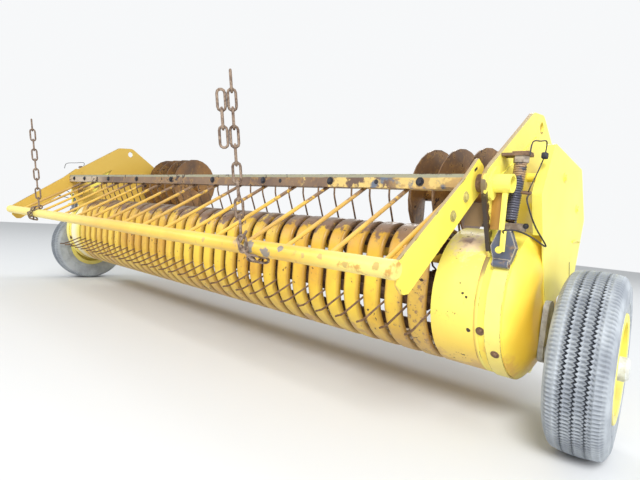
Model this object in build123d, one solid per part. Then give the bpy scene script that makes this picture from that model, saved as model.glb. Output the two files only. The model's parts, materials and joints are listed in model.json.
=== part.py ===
"""Pickup of a round baler.

A tined reel turns behind a row of pressed stripper bands. End drums, covers and shields close
its two ends. Side plates reach up to one pair of lift bores, a wind guard hangs over the front on
two chains, stub augers turn behind, and a gauge wheel runs at each side. Millimetres.

+X is the machine's left side, -Y is forward and +Z is up. The origin is on the lift bores' axis,
midway between the two side plates. Sizes below are measured from the reel's own axis, which the
functions use as their zero, and place() moves every solid into the frame of the origin.
"""

import os
from math import atan2, cos, degrees, hypot, radians, sin

from build123d import *

os.makedirs("parts", exist_ok=True)

# Reel axis, seen from the lift bores
REEL_Y = -132
REEL_Z = -447

# Clearances
SEAT = 0.3
SHAFT_GAP = 0.3

# Stripper bands, with one tine in each gap between two of them
TINE_PITCH = 66
BAND_COUNT = 31
BAND_WIDTH = 49
BAND_SHEET = 2.5
BAND_FLANGE = 12
BAND_EDGE = 3
BAND_RADIUS = 172
BAND_CORNER_RADIUS = 88
BAND_TOP_SLOPE = 10.8
BAND_TAIL_UNDER = 44

# Reel
BAR_COUNT = 4
BAR_FIRST_ANGLE = 189.5
BAR_CIRCLE = 115
BAR_RADIUS = 16
BAR_WALL = 3
REEL_END_GAP = 9
TINE_RADIUS = 2.9
TINE_REACH = 134
TINE_TIP = 26
TINE_BEND = 18
TINE_LAGS = [13.5, 75, 115, 13.5]
REEL_TUBE_RADIUS = 30
REEL_TUBE_WALL = 4
SPIDER_THICKNESS = 8
SPIDER_STEP = 5
SPIDER_HUB_RADIUS = 48
SPIDER_EYE_RADIUS = 22
STUB_RADIUS = 20

# End drums and side plates
DRUM_RADIUS = 172
SHEET = 2.5
DRUM_GAP = 8.5
PLATE_INNER_X = 1134
PLATE_THICKNESS = 10
COVER_RIM_WIDTH = 54
COVER_DOME = 29
COVER_SHOULDER = 110
COVER_BULGE = 13
STRAP_X = 1160
STRAP_WIDTH = 34
STRAP_THICKNESS = 3
STRAP_TOP_ANGLE = 147
STRAP_END_ANGLE = 292

# Places on the side plate, as y and z from the reel axis
LIFT_BORE = (-REEL_Y, -REEL_Z)
LIFT_BORE_RADIUS = 15
LIFT_EYE_RADIUS = 34
ARM_SHOULDER = (72, 446)
ARM_SHOULDER_RADIUS = 28
GUARD_PIVOT = (-163, 271)
GUARD_EYE_RADIUS = 38
PLATE_NECK = (-55, 92)
PLATE_NECK_RADIUS = 62
PLATE_CHEEK = (-130, 196)
PLATE_CHEEK_RADIUS = 20
PLATE_FLANGE_WIDTH = 50
PLATE_FLANGE_THICKNESS = 6
PLATE_FLANGE_HEIGHT = 52
AUGER_AXIS = (335, 290)
AUGER_EYE_RADIUS = 58

# Rear beams, as the corner nearest the reel and the size along y and z
TOP_BEAM_DEPTH = 40
TOP_BEAM_HEIGHT = 36
TOP_BEAM_FRONT_Y = 282
LOW_BEAM_DEPTH = 50
LOW_BEAM_HEIGHT = 40
LOW_BEAM_FRONT_Y = 226
BEAM_WALL = 4

# Wind guard
GUARD_TUBE = (-465, 87)
GUARD_TUBE_RADIUS = 18
GUARD_TUBE_WALL = 3
GUARD_ARM_X = 1106
GUARD_ARM_THICKNESS = 8
ARM_TUBE_CORNERS = [(3, 17), (7, -28), (27, -45), (44, -44), (62, -30)]
ARM_PIVOT_CORNERS = [(12, -21), (20, 39), (-11, 53), (-73, -2)]
ARM_CORNER_RADIUS = 6
GUARD_PIPE_RADIUS = 15.5
GUARD_PIPE_WALL = 3.5
GUARD_PIPE_END_X = 1160
GUARD_COLLAR_RADIUS = 19.8
BOSS_WALL = 4
BOSS_END_X = 1188
BOSS_FLANGE_RADIUS = 27
BOSS_FLANGE_THICKNESS = 7
BOSS_EAR_REACH = 26
BOSS_EAR_RADIUS = 12
BOSS_EAR_LEAN = 75
GUARD_BAR = (-184, 269)
GUARD_BAR_HEIGHT = 34
GUARD_BAR_DEPTH = 42
GUARD_BAR_SHEET = 5
ROD_COUNT = 17
ROD_SPACING = 128.2
ROD_SHIFT = 49.5
ROD_RADIUS = 5

# Guard chains: a taut run from the guard's tube to the hook, and a loose tail beside it
CHAIN_FOOT_X = 690
CHAIN_TOP = (673, -520, 476)
CHAIN_PITCH = 41
CHAIN_WIRE = 6.5
CHAIN_WIDTH = 24
CHAIN_CORNER = 7
TAIL_LINKS = 3
CHAIN_TWIST_LEFT = 141
CHAIN_TWIST_RIGHT = 17

# Stub augers
AUGER_INNER_X = 690
AUGER_OUTER_GAP = 8
AUGER_TUBE_RADIUS = 32
AUGER_FLIGHT_RADIUS = 148
AUGER_FLIGHT_SHEET = 5
AUGER_FLIGHT_INNER_X = 710
AUGER_FLIGHT_TURN = 90
AUGER_FLIGHT_TURNS = 4.25
AUGER_FLIGHT_STEPS = 24
AUGER_STUB_RADIUS = 17.5

# Side shields, bolted on posts
SHIELD_POSTS = [(60, 310), (205, 245)]
SHIELD_POST_RADIUS = 11
SHIELD_LIP = 18
SHIELD_CORNER_RADIUS = 14
SHIELD_CORNERS = [(-44, 374), (214, 349), (298, 221), (251, 68), (11, -12), (-49, 116), (-106, 257)]

# Gauge wheels
WHEEL_X = 1332
WHEEL_AXIS = (8, -100)
WHEEL_TOE = 3.5
TYRE_RADIUS = 200
TYRE_WIDTH = 120
TYRE_SHOULDER = 35
TREAD_WIDTH = 88
BEAD_WIDTH = 96
RIM_RADIUS = 102
RIM_WIDTH = 110
RIM_LIP = 15
RIM_SHEET = 3
RIM_DISH_X = 24
HUB_RADIUS = 26
HUB_END = 46
CAP_LENGTH = 27
SPINDLE_RADIUS = 15
WHEEL_ARM_THICKNESS = 12
WHEEL_ARM_TOP = (14, -6)

# Lift springs, as x, y and z of the two ends, with the bracket on the strap that they pull
SPRING_LOW = (1181, -138, 192)
SPRING_HIGH = (1182, -111, 318)
SPRING_RADIUS = 14
SPRING_NUT = 14
SPRING_LUG = 6
FOOT_SIZE = (44, 30, 16)
BRACKET_MIDDLE_WIDTH = 54
BRACKET_TOP_WIDTH = 26
BRACKET_SHEET = 5
BRACKET_CHEEK = 16
BRACKET_EYE_RADIUS = 9
TONGUE_SIZE = (11, 7, 46)

LEFT = 1
RIGHT = -1
SIDES = {"left": LEFT, "right": RIGHT}

PLATE_OUTER_X = PLATE_INNER_X + PLATE_THICKNESS
GAP_HALF_SPAN = BAND_COUNT * TINE_PITCH / 2
DRUM_INNER_X = GAP_HALF_SPAN + DRUM_GAP
REEL_HALF = DRUM_INNER_X - REEL_END_GAP
COVER_RIM_X = PLATE_OUTER_X + COVER_RIM_WIDTH
COVER_FACE_X = COVER_RIM_X + COVER_DOME
SHIELD_FACE_X = COVER_FACE_X + SEAT
STRAP_OUTER = DRUM_RADIUS + SEAT + STRAP_THICKNESS


def polar(radius, angle):
    """The point at a radius and an angle from +Y towards +Z."""
    return (radius * cos(radians(angle)), radius * sin(radians(angle)))


def slab(outline, x0, x1):
    """An outline in Y and Z, made solid from x0 to x1."""
    return extrude(Plane.YZ.offset(x0) * outline, x1 - x0)


def disc(centre, radius):
    return Pos(*centre) * Circle(radius)


def rod(centre, radius, x0, x1):
    return slab(disc(centre, radius), x0, x1)


def pipe(centre, radius, wall, x0, x1):
    return slab(disc(centre, radius) - disc(centre, radius - wall), x0, x1)


def rounded(corners, radius):
    """A polygon with every corner rounded."""
    shape = make_face(Polyline(*corners, close=True))
    return fillet(shape.vertices(), radius)


def hull_of(*circles):
    """The outline that a taut band round some circles makes. Each is (centre, radius)."""
    edges = [disc(centre, radius).edge() for centre, radius in circles]
    return make_face(make_hull(edges))


def place(shape):
    return Pos(0, REEL_Y, REEL_Z) * shape


def save(name, *shapes):
    solids = [solid for shape in shapes for solid in place(shape).solids()]
    export_step(Compound(children=solids), f"parts/{name}.step")


def save_pair(name, *shapes):
    """The left piece, and its mirror image on the right side."""
    save(f"{name}_left", *shapes)
    save(f"{name}_right", *[mirror(shape, about=Plane.YZ) for shape in shapes])


# Places that follow from the sizes above
def band_corner():
    """The centre of the arc that turns a band from its front face to its sloping top."""
    return (-BAND_RADIUS + BAND_CORNER_RADIUS, BAND_RADIUS - BAND_CORNER_RADIUS)


def band_top_z(y):
    """Height of the bands' sloping top."""
    corner = band_corner()
    slope = radians(BAND_TOP_SLOPE)
    return corner[1] + (BAND_CORNER_RADIUS - (y - corner[0]) * sin(slope)) / cos(slope)


def top_beam_z():
    """Top face of the upper rear beam, under the tails of the bands."""
    rear = TOP_BEAM_FRONT_Y + TOP_BEAM_DEPTH
    return band_top_z(rear) - BAND_FLANGE / cos(radians(BAND_TOP_SLOPE)) - SEAT


def turned(origin, direction):
    """A plane at (x, y, z) whose normal is a direction, with its own x kept across it."""
    normal = Vector(*direction).normalized()
    return Plane(origin=origin, x_dir=Vector(1, 0, 0) - normal * normal.X, z_dir=normal)


# Stripper bands
def stripper_band():
    """One pressed band at x = 0, a channel that is open towards the reel.

    It has a sloping top, a rounded front and a straight tail under the reel.
    """
    corner = band_corner()
    top_start = TOP_BEAM_FRONT_Y + TOP_BEAM_DEPTH
    top_end = (
        corner[0] + BAND_CORNER_RADIUS * sin(radians(BAND_TOP_SLOPE)),
        corner[1] + BAND_CORNER_RADIUS * cos(radians(BAND_TOP_SLOPE)),
    )
    outline = [
        Line((top_start, band_top_z(top_start)), top_end),
        CenterArc(corner, BAND_CORNER_RADIUS, 90 - BAND_TOP_SLOPE, 90 + BAND_TOP_SLOPE),
        Line((-BAND_RADIUS, corner[1]), (-BAND_RADIUS, 0)),
        CenterArc((0, 0), BAND_RADIUS, 180, 90),
        Line((0, -BAND_RADIUS), (LOW_BEAM_FRONT_Y + BAND_TAIL_UNDER, -BAND_RADIUS)),
    ]
    wire = Wire(outline)
    whole = make_face(wire.offset_2d(-BAND_FLANGE, side=Side.LEFT, closed=True).edges())
    face = make_face(wire.offset_2d(-BAND_SHEET, side=Side.LEFT, closed=True).edges())
    half = BAND_WIDTH / 2
    band = slab(whole, -half, half) - slab(whole - face, BAND_SHEET - half, half - BAND_SHEET)
    long_edges = band.edges().filter_by(lambda edge: lies_on_rim(edge, wire, half))
    return chamfer(long_edges, BAND_EDGE)


def lies_on_rim(edge, wire, half):
    """True for an edge that runs along a band's outer corner."""
    middle = edge @ 0.5
    on_side = abs(abs(middle.X) - half) < 0.01
    along = abs((edge @ 0).X - (edge @ 1).X) < 0.01
    spot = Vertex(middle.Y, middle.Z, 0)
    return on_side and along and wire.distance_to(spot) < 0.01


def stripper_bands():
    band = stripper_band()
    first = -(BAND_COUNT - 1) / 2 * TINE_PITCH
    return [Pos(first + index * TINE_PITCH, 0, 0) * band for index in range(BAND_COUNT)]


# Reel
def bar_angles():
    return [BAR_FIRST_ANGLE + index * 360 / BAR_COUNT for index in range(BAR_COUNT)]


def tine_bars():
    return [
        pipe(polar(BAR_CIRCLE, angle), BAR_RADIUS, BAR_WALL, -REEL_HALF, REEL_HALF)
        for angle in bar_angles()
    ]


def tine_outline(angle, lag):
    """A tine's side view: straight from its bar, with its tip bent the way that the reel turns."""
    aim = angle + lag
    root = Vector(*polar(BAR_CIRCLE, angle))
    along = Vector(*polar(1, aim))
    tip_along = Vector(*polar(1, aim - TINE_BEND))
    mitre = Vector(*polar(TINE_RADIUS / cos(radians(TINE_BEND / 2)), aim - TINE_BEND / 2 + 90))
    side = Vector(*polar(TINE_RADIUS, aim + 90))
    tip_side = Vector(*polar(TINE_RADIUS / 2, aim - TINE_BEND + 90))
    start = root + along * (BAR_RADIUS + SEAT)
    bend = root + along * TINE_REACH
    tip = bend + tip_along * TINE_TIP
    corners = [start + side, bend + mitre, tip + tip_side, tip - tip_side, bend - mitre, start - side]
    return make_face(Polyline(*[(corner.X, corner.Y) for corner in corners], close=True))


def tines():
    """A tine in every gap on every bar."""
    found = []
    for angle, lag in zip(bar_angles(), TINE_LAGS):
        outline = tine_outline(angle, lag)
        for index in range(BAND_COUNT + 1):
            x = -GAP_HALF_SPAN + index * TINE_PITCH
            found.append(slab(outline, x - TINE_RADIUS, x + TINE_RADIUS))
    return found


def spider():
    """A four-armed plate at x = 0 that carries the bars round the reel's tube."""
    plate = disc((0, 0), SPIDER_HUB_RADIUS)
    for angle in bar_angles():
        eye = polar(BAR_CIRCLE, angle)
        plate += hull_of(((0, 0), SPIDER_EYE_RADIUS), (eye, SPIDER_EYE_RADIUS))
    plate -= disc((0, 0), REEL_TUBE_RADIUS + SEAT)
    for angle in bar_angles():
        plate -= disc(polar(BAR_CIRCLE, angle), BAR_RADIUS + SEAT)
    return slab(plate, -SPIDER_THICKNESS / 2, SPIDER_THICKNESS / 2)


def spiders():
    step = SPIDER_STEP * TINE_PITCH
    reach = int((REEL_HALF - SPIDER_THICKNESS) // step)
    return [Pos(index * step, 0, 0) * spider() for index in range(-reach, reach + 1)]


def reel_tube():
    """The reel's tube with a plug and a stub shaft at each end."""
    tube = pipe((0, 0), REEL_TUBE_RADIUS, REEL_TUBE_WALL, -REEL_HALF, REEL_HALF)
    for side in SIDES.values():
        near, far = sorted((side * (REEL_HALF - 40), side * (PLATE_OUTER_X + 20)))
        plug_near, plug_far = sorted((side * (REEL_HALF - 40), side * REEL_HALF))
        tube += rod((0, 0), REEL_TUBE_RADIUS, plug_near, plug_far)
        tube += rod((0, 0), STUB_RADIUS, near, far)
    return tube


# End drums and side plates
def drum():
    """The plain drum beside the last band, closed towards the reel."""
    shell = pipe((0, 0), DRUM_RADIUS, SHEET, DRUM_INNER_X, PLATE_INNER_X - SEAT)
    web = disc((0, 0), DRUM_RADIUS) - disc((0, 0), STUB_RADIUS + 5)
    return shell + slab(web, DRUM_INNER_X, DRUM_INNER_X + SHEET)


def side_plate():
    """Carries the reel, both beams, the auger and the guard, and reaches up to the lift bore."""
    low_beam = (LOW_BEAM_FRONT_Y + LOW_BEAM_DEPTH / 2, -BAND_RADIUS - LOW_BEAM_HEIGHT / 2)
    top_beam = (TOP_BEAM_FRONT_Y + TOP_BEAM_DEPTH / 2, top_beam_z() - TOP_BEAM_HEIGHT / 2)
    neck = (PLATE_NECK, PLATE_NECK_RADIUS)
    cheek = (PLATE_CHEEK, PLATE_CHEEK_RADIUS)
    body = ((0, 0), DRUM_RADIUS - 22)
    bore_eye = (LIFT_BORE, LIFT_EYE_RADIUS)
    auger_eye = (AUGER_AXIS, AUGER_EYE_RADIUS)
    outline = disc((0, 0), DRUM_RADIUS)
    outline += hull_of((GUARD_PIVOT, GUARD_EYE_RADIUS), cheek, neck)
    outline += hull_of(
        (GUARD_PIVOT, GUARD_EYE_RADIUS), (ARM_SHOULDER, ARM_SHOULDER_RADIUS), bore_eye
    )
    outline += hull_of(bore_eye, auger_eye, neck)
    outline += hull_of(body, auger_eye, (top_beam, 40))
    outline += hull_of(body, (low_beam, 36), (top_beam, 40))
    outline -= disc(LIFT_BORE, LIFT_BORE_RADIUS)
    outline -= disc(GUARD_PIVOT, GUARD_PIPE_RADIUS + SHAFT_GAP)
    outline -= disc(AUGER_AXIS, AUGER_STUB_RADIUS + SHAFT_GAP)
    outline -= disc((0, 0), STUB_RADIUS + SHAFT_GAP)
    plate = slab(outline, PLATE_INNER_X, PLATE_OUTER_X)
    front = PLATE_CHEEK[0] - PLATE_CHEEK_RADIUS
    start = PLATE_INNER_X - PLATE_FLANGE_WIDTH
    flange = Pos(
        (start + PLATE_OUTER_X) / 2,
        front + PLATE_FLANGE_THICKNESS / 2,
        PLATE_CHEEK[1] + PLATE_FLANGE_HEIGHT / 2 - PLATE_CHEEK_RADIUS,
    ) * Box(PLATE_OUTER_X - start, PLATE_FLANGE_THICKNESS, PLATE_FLANGE_HEIGHT)
    return plate + flange


def end_cover():
    """The domed cover outside the side plate: a rim, a rounded shoulder and a flat face."""
    start = PLATE_OUTER_X + SEAT
    rim = (COVER_RIM_X, DRUM_RADIUS)
    face = (COVER_FACE_X, DRUM_RADIUS - COVER_SHOULDER)
    outer = [
        Line((start, DRUM_RADIUS), rim),
        SagittaArc(rim, face, -COVER_BULGE),
        Line(face, (COVER_FACE_X, 0)),
    ]
    shell = Wire(outer).offset_2d(SHEET, side=Side.RIGHT, closed=True)
    return revolve(make_face(shell.edges()), Axis.X)


def strap():
    """The flat strap round the cover's rim, from the spring's bracket to under the drum."""
    ring = disc((0, 0), STRAP_OUTER) - disc((0, 0), DRUM_RADIUS + SEAT)
    steps = 4
    step = (STRAP_END_ANGLE - STRAP_TOP_ANGLE) / steps
    fan = [polar(2 * DRUM_RADIUS, STRAP_TOP_ANGLE + step * index) for index in range(steps + 1)]
    ring &= make_face(Polyline((0, 0), *fan, close=True))
    return slab(ring, STRAP_X, STRAP_X + STRAP_WIDTH)


def side_shield():
    """The flat outer shield with its edge turned in round the rear and the top."""
    face = rounded(SHIELD_CORNERS, SHIELD_CORNER_RADIUS)
    inner = offset(face, -SHEET)
    plate = slab(face, SHIELD_FACE_X, SHIELD_FACE_X + SHEET)
    lip = slab(face - inner, SHIELD_FACE_X - SHIELD_LIP, SHIELD_FACE_X)
    rim_room = rod((0, 0), STRAP_OUTER + SHIELD_LIP / 3, SHIELD_FACE_X - SHIELD_LIP, SHIELD_FACE_X)
    return plate + (lip - rim_room)


def shield_posts():
    """The posts between the side plate and the shield."""
    return [
        rod(post, SHIELD_POST_RADIUS, PLATE_OUTER_X + SEAT, SHIELD_FACE_X - SEAT)
        for post in SHIELD_POSTS
    ]


# Rear beams
def box_beam(front_y, top_z, depth, height):
    outer = Pos(front_y + depth / 2, top_z - height / 2) * Rectangle(depth, height)
    inner = offset(outer, -BEAM_WALL)
    half = PLATE_INNER_X - SEAT
    return slab(outer - inner, -half, half)


def top_beam():
    return box_beam(TOP_BEAM_FRONT_Y, top_beam_z(), TOP_BEAM_DEPTH, TOP_BEAM_HEIGHT)


def low_beam():
    return box_beam(LOW_BEAM_FRONT_Y, -BAND_RADIUS - SEAT, LOW_BEAM_DEPTH, LOW_BEAM_HEIGHT)


# Wind guard
def guard_arm():
    """The plate that carries the front tube, with a pointed tail behind the pivot."""
    near_tube = [(GUARD_TUBE[0] + y, GUARD_TUBE[1] + z) for y, z in ARM_TUBE_CORNERS]
    near_pivot = [(GUARD_PIVOT[0] + y, GUARD_PIVOT[1] + z) for y, z in ARM_PIVOT_CORNERS]
    outline = rounded([*near_tube, *near_pivot], ARM_CORNER_RADIUS)
    outline += disc(GUARD_PIVOT, GUARD_COLLAR_RADIUS + 1)
    return slab(outline, GUARD_ARM_X, GUARD_ARM_X + GUARD_ARM_THICKNESS)


def guard_pivot():
    """The pipe that turns in the side plate, thicker between the arm and the plate."""
    start = GUARD_ARM_X + GUARD_ARM_THICKNESS + SEAT
    shaft = pipe(GUARD_PIVOT, GUARD_PIPE_RADIUS, GUARD_PIPE_WALL, start, GUARD_PIPE_END_X)
    ring = disc(GUARD_PIVOT, GUARD_COLLAR_RADIUS) - disc(GUARD_PIVOT, GUARD_PIPE_RADIUS)
    return shaft + slab(ring, start, PLATE_INNER_X - 1)


def guard_boss():
    """The two-eared flanged tube on the side plate that the guard's pipe turns in."""
    bore = GUARD_PIPE_RADIUS + SHAFT_GAP
    start = PLATE_OUTER_X + SEAT
    tube = pipe(GUARD_PIVOT, bore + BOSS_WALL, BOSS_WALL, start, BOSS_END_X)
    reach = polar(BOSS_EAR_REACH, BOSS_EAR_LEAN)
    ears = [
        (GUARD_PIVOT[0] + sign * reach[0], GUARD_PIVOT[1] + sign * reach[1]) for sign in (1, -1)
    ]
    flange = hull_of((GUARD_PIVOT, BOSS_FLANGE_RADIUS), *[(ear, BOSS_EAR_RADIUS) for ear in ears])
    flange -= disc(GUARD_PIVOT, bore + BOSS_WALL)
    return tube + slab(flange, start, start + BOSS_FLANGE_THICKNESS)


def guard_tube():
    half = GUARD_ARM_X - SEAT
    return pipe(GUARD_TUBE, GUARD_TUBE_RADIUS, GUARD_TUBE_WALL, -half, half)


def guard_bar():
    """The rear channel between the two arms, open towards the rear."""
    y, z = GUARD_BAR
    outer = Pos(y, z) * Rectangle(GUARD_BAR_DEPTH, GUARD_BAR_HEIGHT)
    web = GUARD_BAR_SHEET
    inner = Pos(y + web, z) * Rectangle(GUARD_BAR_DEPTH, GUARD_BAR_HEIGHT - 2 * web)
    half = GUARD_ARM_X - SEAT
    return slab(outer - inner, -half, half)


def guard_rod():
    """One rod at x = 0 from the front tube up to the underside of the rear channel."""
    foot = GUARD_TUBE
    head_z = GUARD_BAR[1] - GUARD_BAR_HEIGHT / 2 - SEAT
    head = (GUARD_BAR[0] + 4, head_z)
    rise = degrees(atan2(head[1] - foot[1], head[0] - foot[0]))
    length = hypot(head[0] - foot[0], head[1] - foot[1]) + 2 * ROD_RADIUS
    start = polar(GUARD_TUBE_RADIUS + SEAT, rise)
    base = Plane(
        origin=(0, foot[0] + start[0], foot[1] + start[1]),
        x_dir=(1, 0, 0),
        z_dir=(0, *polar(1, rise)),
    )
    bar = extrude(base * Circle(ROD_RADIUS), length - GUARD_TUBE_RADIUS - SEAT)
    return split(bar, Plane.XY.offset(head_z), keep=Keep.BOTTOM)


def guard_rods():
    first = ROD_SHIFT - (ROD_COUNT - 1) / 2 * ROD_SPACING
    return [Pos(first + index * ROD_SPACING, 0, 0) * guard_rod() for index in range(ROD_COUNT)]


# Guard chains
def chain_link():
    """One link in the X and Y plane, its length along Y, with cut corners for rounded ends."""
    outer = (CHAIN_WIDTH, CHAIN_PITCH + 2 * CHAIN_WIRE)
    inner = (CHAIN_WIDTH - 2 * CHAIN_WIRE, CHAIN_PITCH)
    outline = chamfer(Rectangle(*outer).vertices(), CHAIN_CORNER)
    outline -= chamfer(Rectangle(*inner).vertices(), CHAIN_CORNER - CHAIN_WIRE / 2)
    return extrude(outline, CHAIN_WIRE / 2, both=True)


def guard_chain(twist, tail_count):
    """The taut run that holds the guard up, and the loose links that hang beside its top.

    Each link is turned a quarter turn from the one before. The first one's turn is the twist.
    """
    top = Vector(*CHAIN_TOP)
    foot = Vector(CHAIN_FOOT_X, *GUARD_TUBE)
    run = (top - foot).normalized()
    low = foot + run * (GUARD_TUBE_RADIUS + 2 * SEAT + CHAIN_WIRE)
    pitch = CHAIN_PITCH - SEAT
    count = int((top - low).length // pitch)
    links = []
    for index in range(count):
        frame = turned(low + run * pitch * (index + 0.5), (run.X, run.Y, run.Z))
        turn = Rot(0, 0, twist + 90 * (index % 2))
        links.append(frame.location * turn * Rot(90, 0, 0) * chain_link())
    high = count - 2
    for index in range(tail_count):
        frame = turned(low + run * pitch * (high - index + 0.5), (run.X, run.Y, run.Z))
        aside = Rot(0, 0, twist + 90 * (high % 2)) * Pos(CHAIN_WIDTH + SEAT, 0, 0)
        turn = Rot(0, 0, 90 * (index % 2))
        links.append(frame.location * aside * turn * Rot(90, 0, 0) * chain_link())
    return links


# Stub augers
def auger_end_x():
    return PLATE_INNER_X - AUGER_OUTER_GAP


def auger_tube():
    """The auger's tube with a closed inner end and a stub shaft through the side plate."""
    tube = rod(AUGER_AXIS, AUGER_TUBE_RADIUS, AUGER_INNER_X, auger_end_x())
    return tube + rod(AUGER_AXIS, AUGER_STUB_RADIUS, auger_end_x(), PLATE_OUTER_X + 18)


def auger_flight():
    """The flighting round the tube, in short straight steps from its inner end outwards."""
    inner = (AUGER_TUBE_RADIUS + SEAT) / cos(radians(180 / AUGER_FLIGHT_STEPS))
    depth = AUGER_FLIGHT_RADIUS - inner
    sections = []
    for step in range(int(AUGER_FLIGHT_TURNS * AUGER_FLIGHT_STEPS) + 1):
        turns = step / AUGER_FLIGHT_STEPS
        angle = 270 - 360 * turns
        middle = polar(inner + depth / 2, angle)
        x = AUGER_FLIGHT_INNER_X + AUGER_FLIGHT_TURN * turns
        frame = Plane(
            origin=(x, AUGER_AXIS[0] + middle[0], AUGER_AXIS[1] + middle[1]),
            x_dir=(0, *polar(1, angle)),
            z_dir=(0, *polar(1, angle - 90)),
        )
        sections.append(frame * Rectangle(depth, AUGER_FLIGHT_SHEET))
    return loft(sections, ruled=True)


# Gauge wheels
def on_wheel(shape):
    """A shape made round the X axis, moved to the left wheel and turned out by its toe."""
    return Pos(WHEEL_X, *WHEEL_AXIS) * Rot(0, 0, WHEEL_TOE) * shape


def tyre():
    """Ground tyre: a flat tread, sloped shoulders and walls that draw in to the beads."""
    half_profile = [
        (TREAD_WIDTH / 2, TYRE_RADIUS),
        (TYRE_WIDTH / 2, TYRE_RADIUS - TYRE_SHOULDER),
        (BEAD_WIDTH / 2, RIM_RADIUS + SEAT),
    ]
    mirrored = [(-x, radius) for x, radius in reversed(half_profile)]
    ring = revolve(make_face(Polyline(*half_profile, *mirrored, close=True)), Axis.X)
    return on_wheel(ring)


def rim():
    """Pressed wheel: barrel with two lips, a coned disc and a hub that turns on the spindle."""
    bore = SPINDLE_RADIUS + SHAFT_GAP
    lip_x = RIM_WIDTH / 2
    wheel = pipe((0, 0), RIM_RADIUS, RIM_SHEET, -lip_x, lip_x)
    for x in (-lip_x - RIM_SHEET, lip_x):
        wheel += pipe((0, 0), RIM_RADIUS + RIM_LIP, RIM_LIP + RIM_SHEET, x, x + RIM_SHEET)
    seat = RIM_RADIUS - RIM_SHEET
    disc_profile = [
        (RIM_DISH_X, bore),
        (RIM_DISH_X, HUB_RADIUS + 12),
        (RIM_DISH_X - 16, seat - 10),
        (RIM_DISH_X - 16, seat),
        (RIM_DISH_X - 12, seat),
        (RIM_DISH_X - 12, seat - 10),
        (RIM_DISH_X + 4, HUB_RADIUS + 12),
        (RIM_DISH_X + 4, bore),
    ]
    wheel += revolve(make_face(Polyline(*disc_profile, close=True)), Axis.X)
    wheel += pipe((0, 0), HUB_RADIUS, HUB_RADIUS - bore, 4 - lip_x, HUB_END)
    return on_wheel(wheel)


def hub_cap():
    cap = rod((0, 0), HUB_RADIUS, HUB_END + SEAT, HUB_END + CAP_LENGTH)
    edge = cap.faces().sort_by(Axis.X)[-1].edges()
    return on_wheel(chamfer(edge, 6))


def wheel_arm():
    """The arm outside the shield with the spindle that the wheel turns on."""
    low = SHIELD_FACE_X + SHEET + SEAT
    blade = hull_of((WHEEL_AXIS, 27), (WHEEL_ARM_TOP, 24))
    plate = slab(blade, low, low + WHEEL_ARM_THICKNESS)
    return plate + on_wheel(rod((0, 0), SPINDLE_RADIUS, low + 3 - WHEEL_X, HUB_END))


# Lift springs
def spring_run():
    return Vector(*SPRING_HIGH) - Vector(*SPRING_LOW)


def spring_tilt():
    """How far the rim of the leaning spring's end dips below its middle, with the seat added."""
    run = spring_run()
    return SPRING_RADIUS * hypot(run.X, run.Y) / run.length + SEAT


def spring():
    """The closed coil's outer form, between its foot and its nut."""
    run = spring_run()
    base = turned(Vector(*SPRING_LOW), (run.X, run.Y, run.Z))
    return extrude(base * Circle(SPRING_RADIUS), run.length)


def spring_nut():
    """The nut on the spring's threaded top, under the lug."""
    nut = extrude(RegularPolygon(SPRING_RADIUS + 3, 6), SPRING_NUT)
    return Pos(*SPRING_HIGH) * Pos(0, 0, spring_tilt()) * nut


def spring_lug():
    """The flat lug on the side plate that the spring hangs from."""
    low = SPRING_HIGH[2] + spring_tilt() + SPRING_NUT + SEAT
    start = PLATE_OUTER_X + SEAT
    end = SPRING_HIGH[0] + SPRING_RADIUS + SPRING_LUG
    width = 2 * SPRING_RADIUS + 8
    middle = ((start + end) / 2, SPRING_HIGH[1], low + SPRING_LUG / 2)
    return Pos(*middle) * Box(end - start, width, SPRING_LUG)


def foot_low_z():
    return SPRING_LOW[2] - spring_tilt() - FOOT_SIZE[2]


def spring_foot():
    """The block that the spring's lower end is held in."""
    x = SPRING_LOW[0] + FOOT_SIZE[0] / 2 - SPRING_RADIUS
    return Pos(x, SPRING_LOW[1], foot_low_z() + FOOT_SIZE[2] / 2) * Box(*FOOT_SIZE)


def bracket_front_y():
    """Front face of the bracket, over the rolled eye that sits on the strap."""
    eye = polar(STRAP_OUTER + SEAT + BRACKET_EYE_RADIUS, STRAP_TOP_ANGLE)
    return eye[0]


def strap_bracket():
    """The six-sided bracket from the strap's end up to the spring's foot.

    Its edges are folded back into two cheeks, and a rolled eye closes its lower end.
    """
    middle_x = STRAP_X + STRAP_WIDTH / 2
    eye = polar(STRAP_OUTER + SEAT + BRACKET_EYE_RADIUS, STRAP_TOP_ANGLE)
    low = eye[1]
    high = foot_low_z() - SEAT
    waist = (low + high) / 2
    widths = [(low, STRAP_WIDTH), (waist, BRACKET_MIDDLE_WIDTH), (high, BRACKET_TOP_WIDTH)]
    right = [(middle_x + width / 2, z) for z, width in widths]
    left = [(middle_x - width / 2, z) for z, width in reversed(widths)]
    face = make_face(Polyline(*right, *left, close=True))
    inner = make_face(Polyline(
        *[(middle_x + width / 2 - BRACKET_SHEET, z) for z, width in widths],
        *[(middle_x - width / 2 + BRACKET_SHEET, z) for z, width in reversed(widths)],
        close=True,
    ))
    y = bracket_front_y()
    plate = extrude(Plane.XZ.offset(-y) * face, -BRACKET_SHEET)
    cheeks = extrude(Plane.XZ.offset(-y) * (face - inner), -BRACKET_CHEEK)
    bracket = plate + cheeks - rod((0, 0), STRAP_OUTER + SEAT, STRAP_X - 40, COVER_RIM_X)
    roll = rod(eye, BRACKET_EYE_RADIUS, STRAP_X, STRAP_X + STRAP_WIDTH)
    return bracket + roll


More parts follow.
